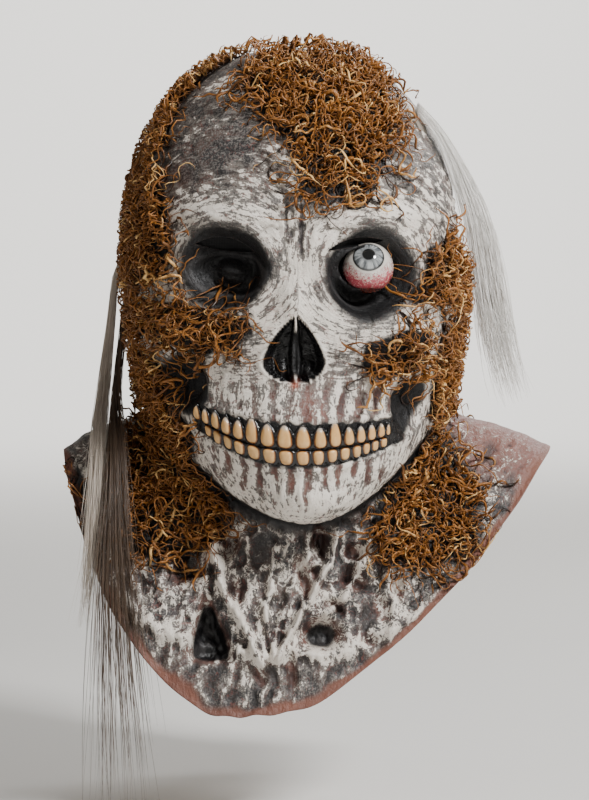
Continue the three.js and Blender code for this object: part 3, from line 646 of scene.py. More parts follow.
base = add(tree, "Mix", zone["rust"], base, add(tree, "Mix", drift, linear("#5f3a31"), linear("#8c6054")))
# painted shade: the base goes near black in the creases, where the fine relief is low
base = add(
    tree,
    "Mix",
    add(tree, "Math", add(tree, "MapRange", zone["high"], 0.5, 0.08), 0.75, operation="MULTIPLY"),
    base,
    linear("#1b1818"),
)
cover = add(tree, "Math", zone["high"], 0.5, zone["chalk"], operation="MULTIPLY_ADD")
cover = add(tree, "Math", stroke, 2.1, cover, operation="MULTIPLY_ADD")
cover = add(tree, "Math", broken, 1.0, cover, operation="MULTIPLY_ADD")
cover = add(tree, "Math", speck, 0.5, cover, operation="MULTIPLY_ADD")
cover = add(
    tree,
    "Math",
    drift,
    0.8,
    add(tree, "Math", cover, 0.4, operation="SUBTRACT"),
    operation="MULTIPLY_ADD",
)
# a net of fine white ridges on the neck
net = add(
    tree,
    "Math",
    add(tree, "Math", add(tree, "TexNoise", place, 1000 / 7, 3, 0.6, 1.2), 0.5, operation="SUBTRACT"),
    operation="ABSOLUTE",
)
net = add(tree, "Math", add(tree, "MapRange", net, 0.055, 0.005), 0.55, -0.2, operation="MULTIPLY_ADD")
cover = add(tree, "Math", net, zone["web"], cover, operation="MULTIPLY_ADD")
veil = add(tree, "Math", add(tree, "MapRange", cover, 2.15, 2.62), 0.6, operation="MULTIPLY")
brushed = add(tree, "MapRange", cover, 2.61, 2.74)
colour = add(tree, "Mix", veil, base, linear("#8f8981"))
chalk_white = add(tree, "Mix", drift, linear("#d3c9bc"), linear("#f4ede2"))
colour = add(tree, "Mix", brushed, colour, chalk_white)
vein = add(
    tree,
    "Math",
    add(tree, "Math", add(tree, "TexNoise", place, 1000 / 11, 2, 0.5, 1.2), 0.5, operation="SUBTRACT"),
    operation="ABSOLUTE",
)
colour = add(
    tree,
    "Mix",
    add(tree, "Math", add(tree, "MapRange", vein, 0.014, 0.0), 0.4, operation="MULTIPLY"),
    colour,
    linear("#8a4a40"),
)
# where the black goes: black paint and the painted shade of the dark zone, broken by specks and strokes
black_paint_and_shade = add(
    tree,
    "Math",
    speck,
    0.35,
    add(tree, "Math", stroke, 0.5, zone["dark_paint_and_shade"], operation="MULTIPLY_ADD"),
    operation="MULTIPLY_ADD",
)
# the black lifts to dark grey on the high folds: partly grey dry-brush, partly painted highlight
black_with_fold_highlight = add(
    tree, "Mix", add(tree, "MapRange", zone["high"], 0.6, 0.98), linear("#0c0b0c"), linear("#302e2e"),
)
colour = add(tree, "Mix", add(tree, "MapRange", black_paint_and_shade, 0.5, 1.2), colour, black_with_fold_highlight)
colour = add(tree, "Mix", zone["blood"], colour, linear("#a8482a"))
raw = add(tree, "Mix", drift, linear("#5a382e"), linear("#8c5a48"))
colour = add(tree, "Mix", zone["rim"], colour, raw)
colour = add(
    tree, "Mix", zone["inside"], colour, add(tree, "Mix", drift, linear("#a58a68"), linear("#c2a988")),
)
height = add(
    tree,
    "Math",
    brushed,
    0.35,
    add(tree, "Math", stroke, 1.4, broken, operation="MULTIPLY_ADD"),
    operation="MULTIPLY_ADD",
)
bump = add(tree, "Bump", {"Height": height, "Strength": 0.75, "Distance": 0.0009})
gloss = add(
    tree,
    "Math",
    zone["gloss"],
    -0.34,
    add(tree, "Math", brushed, 0.1, 0.55, operation="MULTIPLY_ADD"),
    operation="MULTIPLY_ADD",
)
latex = add(tree, "BsdfPrincipled", {"Base Color": colour, "Roughness": gloss, "IOR": 1.5, "Normal": bump})
add(tree, "OutputMaterial", {"Surface": latex})

skin = new_piece("latex_skin", np.concatenate([rings.reshape(-1, 3), poles]), skin_faces, painted_latex)
zones["inside"], inner_zones["inside"] = np.zeros_like(zones["dark_paint_and_shade"]), np.ones_like(inner_zones["dark_paint_and_shade"])


def paint(piece, name, values):
    """Stores one number, or one point in mm, for each of a piece's vertices under an attribute's name."""
    values = np.asarray(values, np.float32)
    if values.ndim == 1:
        piece.data.attributes.new(name, "FLOAT", "POINT").data.foreach_set("value", values)
    else:
        attribute = piece.data.attributes.new(name, "FLOAT_VECTOR", "POINT")
        attribute.data.foreach_set("vector", (values / 1000).ravel())


for name, values in zones.items():
    below = inner_zones[name]
    paint(skin, name, [*values.ravel(), *below[::-1].ravel(), values[0, 0], below[0, 0]])
skin_places = np.concatenate([rings.reshape(-1, 3), poles]) - (0, 0, EYE_LINE)
paint(skin, "strokes", stroke_places(skin_places))

# The two slits that the wearer looks through, cut with bent lenses.
SLITS = {  # x, z, length, height, arch, tilt
    "right": (-43, 13, 36, 8, 2.5, 8),
    "left": (36, 14.5, 34, 5, 2, -10),
}
for side, (x, z, length, height, arch, tilt) in SLITS.items():
    t = np.linspace(-1, 1, 25)
    bow = (1 - t**2)[:, None] * np.array([arch + height / 2, arch - height / 2])
    outline = np.concatenate([
        np.stack([t * length / 2, bow[:, 0]], -1), np.stack([t * length / 2, bow[:, 1]], -1)[-2:0:-1],
    ])
    turn = math.radians(-tilt)
    u = outline[:, 0] * math.cos(turn) - outline[:, 1] * math.sin(turn)
    v = outline[:, 0] * math.sin(turn) + outline[:, 1] * math.cos(turn)
    ends = [np.stack([x + u, np.full_like(u, y), EYE_LINE + z + v], -1) for y in (-140.0, -60.0)]
    count = len(outline)
    caps = [list(range(count - 1, -1, -1)), list(range(count, 2 * count))]
    cutter = new_piece(
        side + "_cutter", np.concatenate(ends), sheet_faces(2, count).tolist() + caps, painted_latex,
    )
    cutter.data.validate()
    slit = skin.modifiers.new("slit", "BOOLEAN")
    slit.operation, slit.solver, slit.object = "DIFFERENCE", "MANIFOLD", cutter
    cut = bpy.data.meshes.new_from_object(skin.evaluated_get(bpy.context.evaluated_depsgraph_get()))
    skin.modifiers.clear()
    skin.data = cut
    bpy.data.objects.remove(cutter)
skin.data.name = "latex_skin"
skin.data.polygons.foreach_set("use_smooth", np.ones(len(skin.data.polygons), bool))
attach(skin, "mask")
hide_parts("mask_skin")

# ---- Eyeball ----
# A ball of clear-coated cast resin with a painted grey iris, bonded in the left socket so that it bulges
# past the lids. It looks up and ahead, and is veined with red where it meets the lower lid.
BALL = np.array([43.5, -91.0, EYE_LINE + 1])
BALL_RADIUS = 15.5
BALL_BACK = -90.0  # the ball is flat where it is bonded to the socket
IRIS = math.asin(9.3 / BALL_RADIUS)  # half angles seen from the ball's centre
PUPIL = 0.36  # of the iris
GAZE = math.radians(31)  # above level
gaze = np.array([0, -math.cos(GAZE), math.sin(GAZE)])
upwards = np.array([0, math.sin(GAZE), math.cos(GAZE)])
BALL_ROWS, BALL_COLUMNS = 170, 260
down_ball = np.radians(np.linspace(0.5, 125, BALL_ROWS))
round_ball = np.arange(BALL_COLUMNS) / BALL_COLUMNS * 2 * math.pi
polar, spin = np.meshgrid(down_ball, round_ball, indexing="ij")
cornea = 1.1 * (1 - step(0.3, 1.15, polar / IRIS))
rightwards = np.array([1, 0, 0])
sideways = np.cos(spin)[..., None] * rightwards + np.sin(spin)[..., None] * upwards
ball = np.cos(polar)[..., None] * gaze + np.sin(polar)[..., None] * sideways
ball = (BALL_RADIUS + cornea)[..., None] * ball
low_ball = ball[..., 2] / BALL_RADIUS
ball = ball + BALL
ball[..., 1] = np.minimum(ball[..., 1], BALL_BACK)
eye_resin, tree = new_material("eye_resin")
place = add(tree, "TexCoord", out="Object")
ring, red, low, spoke = (
    add(tree, "Attribute", out=kind, attribute_name=name)
    for name, kind in (("ring", "Fac"), ("red", "Fac"), ("low", "Fac"), ("spoke", "Vector"))
)
# A grey iris with radial fibres inside a dark ring, on a cream white with fine veins.
fibre = add(tree, "TexNoise", spoke, 1000 / 2.4, 3, 0.65, 0.3)
iris = add(tree, "Mix", add(tree, "MapRange", fibre, 0.36, 0.64), linear("#54585b"), linear("#b4b8b8"))
iris = add(tree, "Mix", add(tree, "MapRange", ring, 0.6, 0.36), iris, linear("#77797a"))
iris = add(tree, "Mix", add(tree, "MapRange", ring, 0.8, 0.97), iris, linear("#1d1f21"))
iris = add(tree, "Mix", add(tree, "MapRange", ring, PUPIL + 0.04, PUPIL - 0.03), iris, linear("#121314"))
cloud = add(tree, "TexNoise", place, 1000 / 6, 3, 0.5, 0.0)
white = add(tree, "Mix", cloud, linear("#cdc6bb"), linear("#e9e4dc"))
thread = add(
    tree,
    "Math",
    add(tree, "Math", add(tree, "TexNoise", place, 1000 / 3.6, 3, 0.6, 1.6), 0.5, operation="SUBTRACT"),
    operation="ABSOLUTE",
)
white = add(
    tree,
    "Mix",
    add(
        tree,
        "Math",
        add(tree, "MapRange", thread, 0.045, 0.0),
        add(tree, "MapRange", red, 0.0, 0.4),
        operation="MULTIPLY",
    ),
    white,
    linear("#a3283a"),
)
blotch = add(tree, "TexNoise", place, 1000 / 1.6, 3, 0.65, 0.8)
flush = add(tree, "MapRange", add(tree, "Math", blotch, 1.8, red, operation="MULTIPLY_ADD"), 1.62, 1.85)
white = add(tree, "Mix", add(tree, "MapRange", red, 0.45, 1.1), white, linear("#e0b6aa"))
white = add(tree, "Mix", add(tree, "Math", flush, 0.9, operation="MULTIPLY"), white, linear("#ad2340"))
# painted shade: the bottom of the ball, under the lower lid, goes dark brown-red
white = add(tree, "Mix", add(tree, "MapRange", low, 0.0, 1.0), white, linear("#5a2218"))
seen = add(tree, "Mix", add(tree, "MapRange", ring, 1.06, 0.98), white, iris)
shade = add(tree, "BsdfPrincipled", {
    "Base Color": seen, "Roughness": 0.12, "Coat Weight": 1.0, "Coat Roughness": 0.03,
})
add(tree, "OutputMaterial", {"Surface": shade})
pole = BALL + (BALL_RADIUS + 1.1) * gaze
ball_count = ball[..., 0].size
ball_faces = sheet_faces(BALL_ROWS, BALL_COLUMNS).tolist()
ball_faces += [(ball_count, (i + 1) % BALL_COLUMNS, i) for i in range(BALL_COLUMNS)]
eyeball = new_piece("resin_eyeball", np.concatenate([ball.reshape(-1, 3), [pole]]), ball_faces, eye_resin)
paint(eyeball, "ring", np.append((polar / IRIS).ravel(), 0))
off_centre = np.abs(ball[..., 0] - BALL[0]) / BALL_RADIUS
reddened = step(0.3, -0.75, low_ball - 0.35 * off_centre) * step(1.0, 1.4, polar / IRIS)
paint(eyeball, "red", np.append(reddened.ravel(), 0))
# where the painted shade at the bottom of the ball goes
paint(eyeball, "low", np.append(step(-0.66, -0.86, low_ball).ravel(), 0))
spokes = np.stack([9 * np.cos(spin), 9 * np.sin(spin), 2.2 * polar / IRIS], -1).reshape(-1, 3)
paint(eyeball, "spoke", np.concatenate([spokes, [(0, 0, 0)]]))
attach(eyeball, "mask")
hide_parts("left_eyeball")

# ---- Teeth ----
# Two rows of teeth cast in ivory-coloured resin with black gums, each one strip bonded along the bite.
# The upper teeth are pointed arches with long canines; the lower ones are short pegs.
BITE_MIDDLE = math.radians(-2)  # where the gap between the front teeth is
GUM_LIFT, TOOTH_LIFT = 1.2, 3.2
ROWS_OF_TEETH = {  # widths and lengths in mm from the middle to each corner, and the strip's height
    "upper_teeth": {
        "right": ((10.3, 9.9, 9.8, 9.4, 9.2, 9, 7.6, 7.4), (13.2, 12.8, 14.6, 10.8, 9.8, 9.8, 8.6, 8)),
        "left": ((10.2, 9, 8.8, 8.6, 8.2, 8, 7.2, 5), (12.8, 11.8, 14.6, 10.6, 9.8, 9.2, 8.4, 6.6)),
        "up": 1, "height": 15, "taper": 0.62,
    },
    "lower_teeth": {
        "right": ((9.8, 9.6, 10, 9.6, 8.6, 8.4, 7.6), (8.6, 8.6, 8, 7.6, 7.2, 7, 5.6)),
        "left": ((9, 8.4, 7.9, 8.2, 7.6, 6.8, 7, 7.2), (8.6, 8.6, 7.8, 7.4, 7.2, 6.6, 6, 5.4)),
        "up": -1, "height": 9.5, "taper": 0.25,
    },
}


def row_at_height(angle, height_at):
    """Rows at which the plain skin comes down to a height that depends on x, by halving the interval."""
    high, low = np.full_like(angle, 1.0), np.full_like(angle, HEM - 0.5)
    for _ in range(26):
        row = (high + low) / 2
        p = plain_point(angle, row)
        above = p[..., 2] > height_at(p[..., 0])
        high, low = np.where(above, row, high), np.where(above, low, row)
    return high


cast_teeth, tree = new_material("cast_teeth")
place = add(tree, "TexCoord", out="Object")
ivory, edge, tip = (
    add(tree, "Attribute", out="Fac", attribute_name=name) for name in ("ivory", "edge", "tip")
)
# Tan ivory, paler in the middle of each tooth and browner to its edge as painted shade round the dome,
# glazed; gums are glossy black.
stain = add(
    tree,
    "TexNoise",
    add(tree, "VectorMath", place, (1, 1, 0.4), operation="MULTIPLY"),
    1000 / 2.2,
    3,
    0.6,
    0.0,
)
body = add(tree, "Mix", stain, linear("#c98f4c"), linear("#ecc486"))
# painted shade: each tooth browns towards its edge
body = add(
    tree,
    "Mix",
    add(tree, "MapRange", add(tree, "Math", stain, 0.5, edge, operation="MULTIPLY_ADD"), 0.75, 1.25),
    body,
    linear("#7d4719"),
)
dusty = add(
    tree,
    "Math",
    add(tree, "MapRange", add(tree, "Math", stain, 0.5, tip, operation="MULTIPLY_ADD"), 0.98, 1.2),
    0.75,
    operation="MULTIPLY",
)
body = add(tree, "Mix", dusty, body, linear("#bdb6ab"))
gum = add(tree, "Mix", add(tree, "MapRange", stain, 0.6, 0.75), linear("#0e0c0c"), linear("#3a302c"))
tooth_bump = add(tree, "Bump", {"Height": stain, "Strength": 0.35, "Distance": 0.0004})
shade = add(tree, "BsdfPrincipled", {
    "Base Color": add(tree, "Mix", ivory, gum, body), "Normal": tooth_bump,
    "Roughness": add(tree, "Math", ivory, 0.08, 0.2, operation="MULTIPLY_ADD"),
    "Coat Weight": 0.35,
})
add(tree, "OutputMaterial", {"Surface": shade})

STRIP_ROWS = 48
for name, row_of in ROWS_OF_TEETH.items():
    up, height = row_of["up"], row_of["height"]
    angle = np.radians(np.arange(-56, 56, 0.2))
    level = plain_point(angle, row_at_height(angle, lambda x: bite(x) + up * 0.4))
    s = np.concatenate([[0], np.cumsum(np.linalg.norm(np.diff(level, axis=0), axis=1))])
    s -= np.interp(BITE_MIDDLE, angle, s)
    gaps = np.concatenate([-np.cumsum(row_of["right"][0])[::-1], [0], np.cumsum(row_of["left"][0])])
    lengths = np.concatenate([row_of["right"][1][::-1], row_of["left"][1]])
    on_strip = (s > gaps[0] - 1) & (s < gaps[-1] + 1)
    angle, s = angle[on_strip], s[on_strip]
    size = 1 - 0.4 * (s / np.where(s < 0, -gaps[0], gaps[-1])) ** 2
    rise = np.linspace(0, 1, STRIP_ROWS)[:, None] * height * size
    grid_angle = np.broadcast_to(angle, rise.shape)
    row = row_at_height(grid_angle, lambda x: bite(x) + up * 0.4 + up * rise)
    which = np.clip(np.searchsorted(gaps, s) - 1, 0, len(lengths) - 1)
    centre, half = (gaps[which] + gaps[which + 1]) / 2, (gaps[which + 1] - gaps[which]) / 2 - 0.95
    t = rise / lengths[which]
    slim = (
        1 - 0.25 * np.clip((0.22 - t) / 0.22, 0, 1) ** 2
        - row_of["taper"] * np.clip((t - 0.3) / 0.7, 0, 2) ** 1.8
    )
    across = np.abs(s - centre) / half / np.maximum(slim, 0.12)
    d = (across**3 + np.abs(2 * t - 1.02) ** 4.5) ** (1 / 3.4)
    dome = np.clip(1 - d**2.6, 0, 1) ** 0.55
    ridge = 0.9 * np.exp(-(((d - 1.17) / 0.1) ** 2)) + 0.4 * np.exp(-(((d - 1.5) / 0.16) ** 2))
    lift = GUM_LIFT + ridge + TOOTH_LIFT * size * dome * (0.8 + 0.2 * np.sin(which * 2.4))
    lift = -2 + (lift + 2) * step(1.75, 1.4, d)
    # the rim of the strip goes under the paint: two rows at the bite, two at the gums, three at the ends
    up_strip, along_strip = np.indices(lift.shape)
    from_gums = (STRIP_ROWS - 1 - up_strip) * 0.5
    from_ends = np.minimum(along_strip, len(s) - 1 - along_strip) * 0.35
    border = np.minimum.reduce([up_strip * 2.0, from_gums, from_ends])
    lift = np.where(border < 1, -2 + (lift + 2) * np.clip(border, 0, 1) ** 0.5, lift)
    points, _ = skin_points(grid_angle, row, lift, smooth=True)
    faces = sheet_faces(STRIP_ROWS, len(s), False)
    faces = faces if up < 0 else faces[:, ::-1]
    strip = new_piece("cast_" + name, points.reshape(-1, 3), faces.tolist(), cast_teeth)
    paint(strip, "ivory", step(1.05, 0.96, d).ravel())
    # where the painted shade at each tooth's edge goes
    paint(strip, "edge", step(0.55, 1.0, d).ravel())
    paint(strip, "tip", (t if up > 0 else t * 0.8).ravel())
    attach(strip, "mask")
    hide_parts(name)

# ---- Moss ----
# Dried orange-brown moss, teased into curly noodles and glued to the skin in tufts, with stray curls
# that cross the bare skin at the edges. Each tuft stands up to a centimetre off the skin.
moss_fibre, tree = new_material("dried_moss")
place = add(tree, "TexCoord", out="Object")
tone, depth = (
    add(tree, "Attribute", out="Fac", attribute_name=name) for name in ("tone", "depth")
)
# Rusty brown, with painted shade that darkens the bottom of a tuft, and straw-coloured on the curls of
# palest tone.
fleck = add(tree, "TexNoise", place, 1000 / 3, 3, 0.6, 0.0)
some_tone = add(tree, "Math", tone, 0.6, operation="MULTIPLY")
blotchy = add(tree, "Math", fleck, 0.5, some_tone, operation="MULTIPLY_ADD")
rusty = add(tree, "Mix", blotchy, linear("#3d1d0a"), linear("#b5752f"))
brown = add(
    tree,
    "Mix",
    add(tree, "MapRange", add(tree, "Math", fleck, 0.3, tone, operation="MULTIPLY_ADD"), 0.86, 1.08),
    rusty,
    linear("#edc07c"),
)
# painted shade: curls that lie low in the tuft go dark
brown = add(tree, "Mix", add(tree, "MapRange", depth, 0.7, 0.05), brown, linear("#1f0f06"))
fuzz = add(tree, "Bump", {"Height": fleck, "Strength": 0.5, "Distance": 0.0004})
shade = add(tree, "BsdfPrincipled", {"Base Color": brown, "Roughness": 0.45, "Normal": fuzz})
add(tree, "OutputMaterial", {"Surface": shade})


def tubes(paths, outwards, wide, thin, twist, sides):
    """Points and faces of flattened tubes along paths (strand, step, xyz). outwards is a direction at
    every step, which the flat side follows; twist turns it there; ends narrow to a blunt point."""
    count, steps, _ = paths.shape
    ahead = np.gradient(paths, axis=1)
    ahead /= np.linalg.norm(ahead, axis=-1, keepdims=True) + 1e-9
    across = np.cross(ahead, outwards)
    across /= np.linalg.norm(across, axis=-1, keepdims=True) + 1e-9
    above = np.cross(across, ahead)
    flat = across * np.cos(twist)[..., None] + above * np.sin(twist)[..., None]
    deep = above * np.cos(twist)[..., None] - across * np.sin(twist)[..., None]
    along = np.abs(np.linspace(-1, 1, steps))
    narrow = (1 - 0.75 * along**8)[None, :, None]
    spin = np.arange(sides) / sides * 2 * math.pi
    rings = (
        paths[:, :, None]
        + (narrow * wide[:, None, None])[..., None] * np.cos(spin)[None, None, :, None] * flat[:, :, None]
    )
    rings = (
        rings
        + (narrow * thin[:, None, None])[..., None] * np.sin(spin)[None, None, :, None] * deep[:, :, None]
    )
    one = sheet_faces(steps, sides)
    starts = np.arange(count)[:, None, None] * steps * sides
    faces = (one[None] + starts).reshape(-1, 4).tolist()
    ends = np.stack([np.arange(sides)[::-1], np.arange(sides) + (steps - 1) * sides])
    faces += (ends[None] + starts).reshape(-1, sides).tolist()
    return rings.reshape(-1, 3), faces


def walk(rng, angle, row, length, steps, curl, height):
    """Curling paths over the plain skin from a start angle and row: the heading turns by a slowly
    changing amount at each step. Returns the points, the outward directions and the heights."""
    count = len(angle)
    heading = rng.uniform(0, 2 * math.pi, count)
    bend = rng.normal(0, curl, count)
    stride = length / (steps - 1)
    phase = rng.uniform(0, 2 * math.pi, (3, count))
    swing = rng.uniform(0.15, 0.5, (2, count))
    points, normals, heights = [], [], []
    for k in range(steps):
        d = 0.01
        normal = plain_normal(angle, row)
        here = plain_point(angle, row)
        da = (plain_point(angle + d, row) - here) / d
        dr = (plain_point(angle, row + d) - here) / d
        lifted = (
            height + 2.4 * np.sin(phase[0] + k * swing[0] * 2) + 1.2 * np.sin(phase[1] + k * swing[1] * 4)
        )
        lifted = np.clip(lifted, 0.7, 11)
        on_skin, _ = skin_points(angle, row, lifted, smooth=True)
        points.append(on_skin)
        normals.append(normal)
        heights.append(lifted)
        size_a = np.linalg.norm(da, axis=-1)
        first = da / size_a[:, None]
        second = np.cross(normal, first)
        way = np.cos(heading)[:, None] * first + np.sin(heading)[:, None] * second
        skew = np.sum(dr * first, -1)
        down = np.sum(dr * second, -1)
        step_row = stride * np.sum(way * second, -1) / down
        angle = angle + (stride * np.sum(way * first, -1) - skew * step_row) / size_a
        row = np.clip(row + step_row, 0.3, HEM - 0.05)
        bend = 0.86 * bend + rng.normal(0, curl * 0.55, count)
        heading = heading + bend * stride
    return np.stack(points, 1), np.stack(normals, 1), np.stack(heights, 1)


MOSS_DENSITY = 0.072  # strands for each square millimetre of skin
TRIES = 60000  # places tried in the box round a tuft's outline
STEPS = 20  # points along a strand
for number, (name, corners) in enumerate(MOSS.items()):
    rng = np.random.default_rng(100 + number)
    corners = np.array(corners, float)
    low, high = corners.min(0), corners.max(0)
    tries = rng.uniform(low, high, (TRIES, 2))
    tries = tries[within(tries[:, 0], tries[:, 1], corners.mean(0) + (corners - corners.mean(0)) * 0.97)]
    angle, row = np.radians(tries[:, 0]), tries[:, 1]
    here = plain_point(angle, row)
    round_it, down_it = plain_point(angle + 0.01, row) - here, plain_point(angle, row + 0.01) - here
    area = np.linalg.norm(np.cross(round_it, down_it), axis=-1) / 0.01**2
    box_size = math.radians(high[0] - low[0]) * (high[1] - low[1])
    patch_area = area.sum() / TRIES * box_size
    count = int(patch_area * MOSS_DENSITY * (0.5 if name in THIN_TUFTS else 1))
    chosen = rng.choice(len(area), count, p=area / area.sum(), replace=True)
    length = rng.uniform(10, 46, count)
    rise = rng.uniform(0, 1, count) ** 0.8 * 8.5
    if name in THIN_TUFTS:
        rise = rise * 0.4
    paths, outwards, heights = walk(rng, angle[chosen], row[chosen], length, STEPS, 0.18, rise)
    twist = (
        rng.uniform(0, math.pi, count)[:, None]
        + np.linspace(0, 1, STEPS)[None] * rng.normal(0, 2.5, count)[:, None]
    )
    wide = 0.3 + 0.9 * rng.beta(1.3, 2.2, count)
    thick = rng.uniform(0.18, 0.4, count)
    points, faces = tubes(paths, outwards, wide, thick, twist, 4)
    tuft = new_piece(name + "_curls", points, faces, moss_fibre)
    paint(tuft, "tone", np.repeat(rng.beta(1.6, 1.9, count), STEPS * 4))
    # depth is the height that the painted shade in the moss reads
    paint(tuft, "depth", np.repeat(np.clip(heights / 8, 0, 1).ravel(), 4))
    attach(tuft, "mask")
    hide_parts(name)

# ---- Glued tabs ----
# A dab of liquid latex over the root of each bunch of hair, brushed on when the hair is laid and cured
# in place, which bonds the hair to the skin.


def pad_grid(corners, sectors=96, rings=16):
    """Angles, rows and share of the way out, of rings inside a smooth closed outline through corners."""
    knots = np.array(corners, float)
    count = len(knots)
    place = np.arange(sectors) / sectors * count
    i, s = np.floor(place).astype(int), (place % 1)[:, None]
    p0, p1, p2, p3 = (knots[(i + k) % count] for k in (-1, 0, 1, 2))
    bend = 2 * p0 - 5 * p1 + 4 * p2 - p3
    rim = 0.5 * (2 * p1 + (p2 - p0) * s + bend * s**2 + (3 * p1 - p0 - 3 * p2 + p3) * s**3)
    out = (np.arange(rings) + 1) / rings
    grid = rim.mean(0) + (rim - rim.mean(0))[None] * out[:, None, None]
    return np.radians(grid[..., 0]), grid[..., 1], np.broadcast_to(out[:, None], grid.shape[:2])


def pad_piece(name, corners, face, material, back=None):
    """A pad on the skin inside an outline: face gives the outer height for each share of the way out,
    and back, if given, the height of the other face, which closes it."""
    angle, row, out = pad_grid(corners)
    rings, sectors = out.shape
    middle = (angle.mean(keepdims=True)[0], row.mean(keepdims=True)[0])
    sides = [face] if back is None else [face, back]
    points, faces = [], []
    for side, height in enumerate(sides):
        grid, _ = skin_points(angle, row, height(out), smooth=True)
        pole, _ = skin_points(*middle, height(np.zeros_like(middle[0])), smooth=True)
        start = len(points) * (rings * sectors + 1)
        one = sheet_faces(rings, sectors) + start
        fan = [(start + rings * sectors, start + j, start + (j + 1) % sectors) for j in range(sectors)]
        faces += one.tolist() + fan if side else one[:, ::-1].tolist() + [f[::-1] for f in fan]
        points.append(np.concatenate([grid.reshape(-1, 3), pole.reshape(-1, 3)]))
    if back is not None:
        last, jump = (rings - 1) * sectors, rings * sectors + 1
        faces += [
            (last + (j + 1) % sectors, last + j, last + j + jump, last + (j + 1) % sectors + jump)
            for j in range(sectors)
        ]
    piece = new_piece(name, np.concatenate(points), faces, material)
    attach(piece, "mask")
    return piece


bonding_latex, tree = new_material("bonding_latex")
place = add(tree, "TexCoord", out="Object")
# Cloudy brownish latex with brush marks and a soft shine.
smear = add(tree, "TexNoise", place, 1000 / 4, 3, 0.6, 0.6)
dab = add(tree, "Mix", smear, linear("#6f6258"), linear("#b3aa9d"))
brushmark = add(tree, "Bump", {"Height": smear, "Strength": 0.6, "Distance": 0.001})
shade = add(tree, "BsdfPrincipled", {"Base Color": dab, "Roughness": 0.42, "Normal": brushmark})
add(tree, "OutputMaterial", {"Surface": shade})
HAIR_TABS = {
    "left_hair_tab": [[58, 3], [66, 2.7], [73, 3.1], [70, 3.55], [60, 3.45]],
    "right_hair_tab": [[-130, 5.2], [-118, 5.1], [-118, 5.9], [-130, 6]],
    "rear_hair_tab": [[166, 5.9], [194, 5.9], [194, 6.35], [166, 6.35]],
}


def dab_height(out):
    """Height of a dab: thick in the middle, thinning to under the paint at its rim."""
    return 2.3 - 2.6 * out**3


for name, corners in HAIR_TABS.items():
    tab = pad_piece(name.replace("tab", "root_dab"), corners, dab_height, bonding_latex)
    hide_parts(name)

# ---- Hair ----
# Three bunches of long loose hair, glued at the root and hanging free: a thin white-grey veil from the
# left temple, a grey and a brown bunch from behind the right ear, and a broad grey bunch at the back.
HAIR = {
    # skin: root as angle, row and height; free: x, y and height from the eyes; sizes: half sizes across
    # and through at root, middle and tip; strands: how many
    "left_hair_lock": {
        "skin": [(64, 3.1, 4.5), (72, 3.7, 5.5), (80, 4.6, 8)],
        "free": [(113, -16, 30), (119, -13, 0), (124, -11, -30), (131, -9, -62), (138, -8, -86)],
        "sizes": ((8, 1.2), (11, 3.5), (11, 3)), "facing": (0.3, -1, 0),
        "strands": 430, "body": "left_hair", "colour": "white",
    },
    "right_grey_lock": {
        "skin": [(-124, 5.4, 4.5)],
        "free": [
            (-113, 24, 0), (-118, 10, -40), (-121.5, -10, -78), (-123, -36, -102), (-123.5, -58, -134),
            (-125, -70, -165), (-128, -74, -200), (-131, -75, -222),
        ],
        "sizes": ((5, 1.4), (5.5, 3), (3, 1.5)), "facing": (-0.4, -1, 0),
        "strands": 260, "body": "right_hair", "colour": "grey",
    },
    "right_brown_lock": {
        "skin": [(-124, 5.8, 4.5)],
        "free": [
            (-108, 27, -20), (-111, 10, -50), (-113, -14, -76), (-112, -42, -96), (-111, -62, -126),
            (-111, -76, -160), (-110, -84, -200), (-108, -89, -250), (-104, -89, -332),
        ],
        "sizes": ((5, 1.6), (8, 3), (25, 6)), "facing": (0, -1, 0),
        "strands": 200, "body": "right_hair", "colour": "brown",
    },
    "rear_hair_lock": {
        "skin": [(180, 6.1, 4.5)],
        "free": [(0, 130, -30), (0, 131, -80), (0, 129, -140), (0, 127, -200), (0, 126, -285)],
        "sizes": ((18, 1.8), (30, 4), (25, 3)), "facing": (0, 1, 0),
        "strands": 520, "body": "rear_hair", "colour": "grey",
    },
}
# Hair colours: each strand has its own tone, darker at the root.
HAIR_TONES = {
    "white": ("#d6d0c8", "#fffdf9"), "grey": ("#b5a797", "#f4e9dc"), "brown": ("#2e231c", "#7d6652"),
}
hair_materials = {}
for colour, (deep, pale) in HAIR_TONES.items():
    material, tree = new_material(colour + "_hair")
    tone, depth = (
        add(tree, "Attribute", out="Fac", attribute_name=name) for name in ("tone", "depth")
    )
    place = add(tree, "TexCoord", out="Object")
    streaky = add(
        tree,
        "TexNoise",
        add(tree, "VectorMath", place, (1, 1, 0.1), operation="MULTIPLY"),
        1000 / 3,
        2,
        0.5,
        0.0,
    )
    hue = add(
        tree,
        "Mix",
        add(
            tree,
            "Math",
            streaky,
            0.5,
            add(tree, "Math", tone, 0.6, operation="MULTIPLY"),
            operation="MULTIPLY_ADD",
        ),
        linear(deep),
        linear(pale),
    )
    hue = add(tree, "Mix", add(tree, "MapRange", depth, 0.12, 0.0), hue, linear(deep))
    shade = add(tree, "BsdfPrincipled", {"Base Color": hue, "Roughness": 0.38, "Specular IOR Level": 0.7})
    add(tree, "OutputMaterial", {"Surface": shade})
    hair_materials[colour] = material


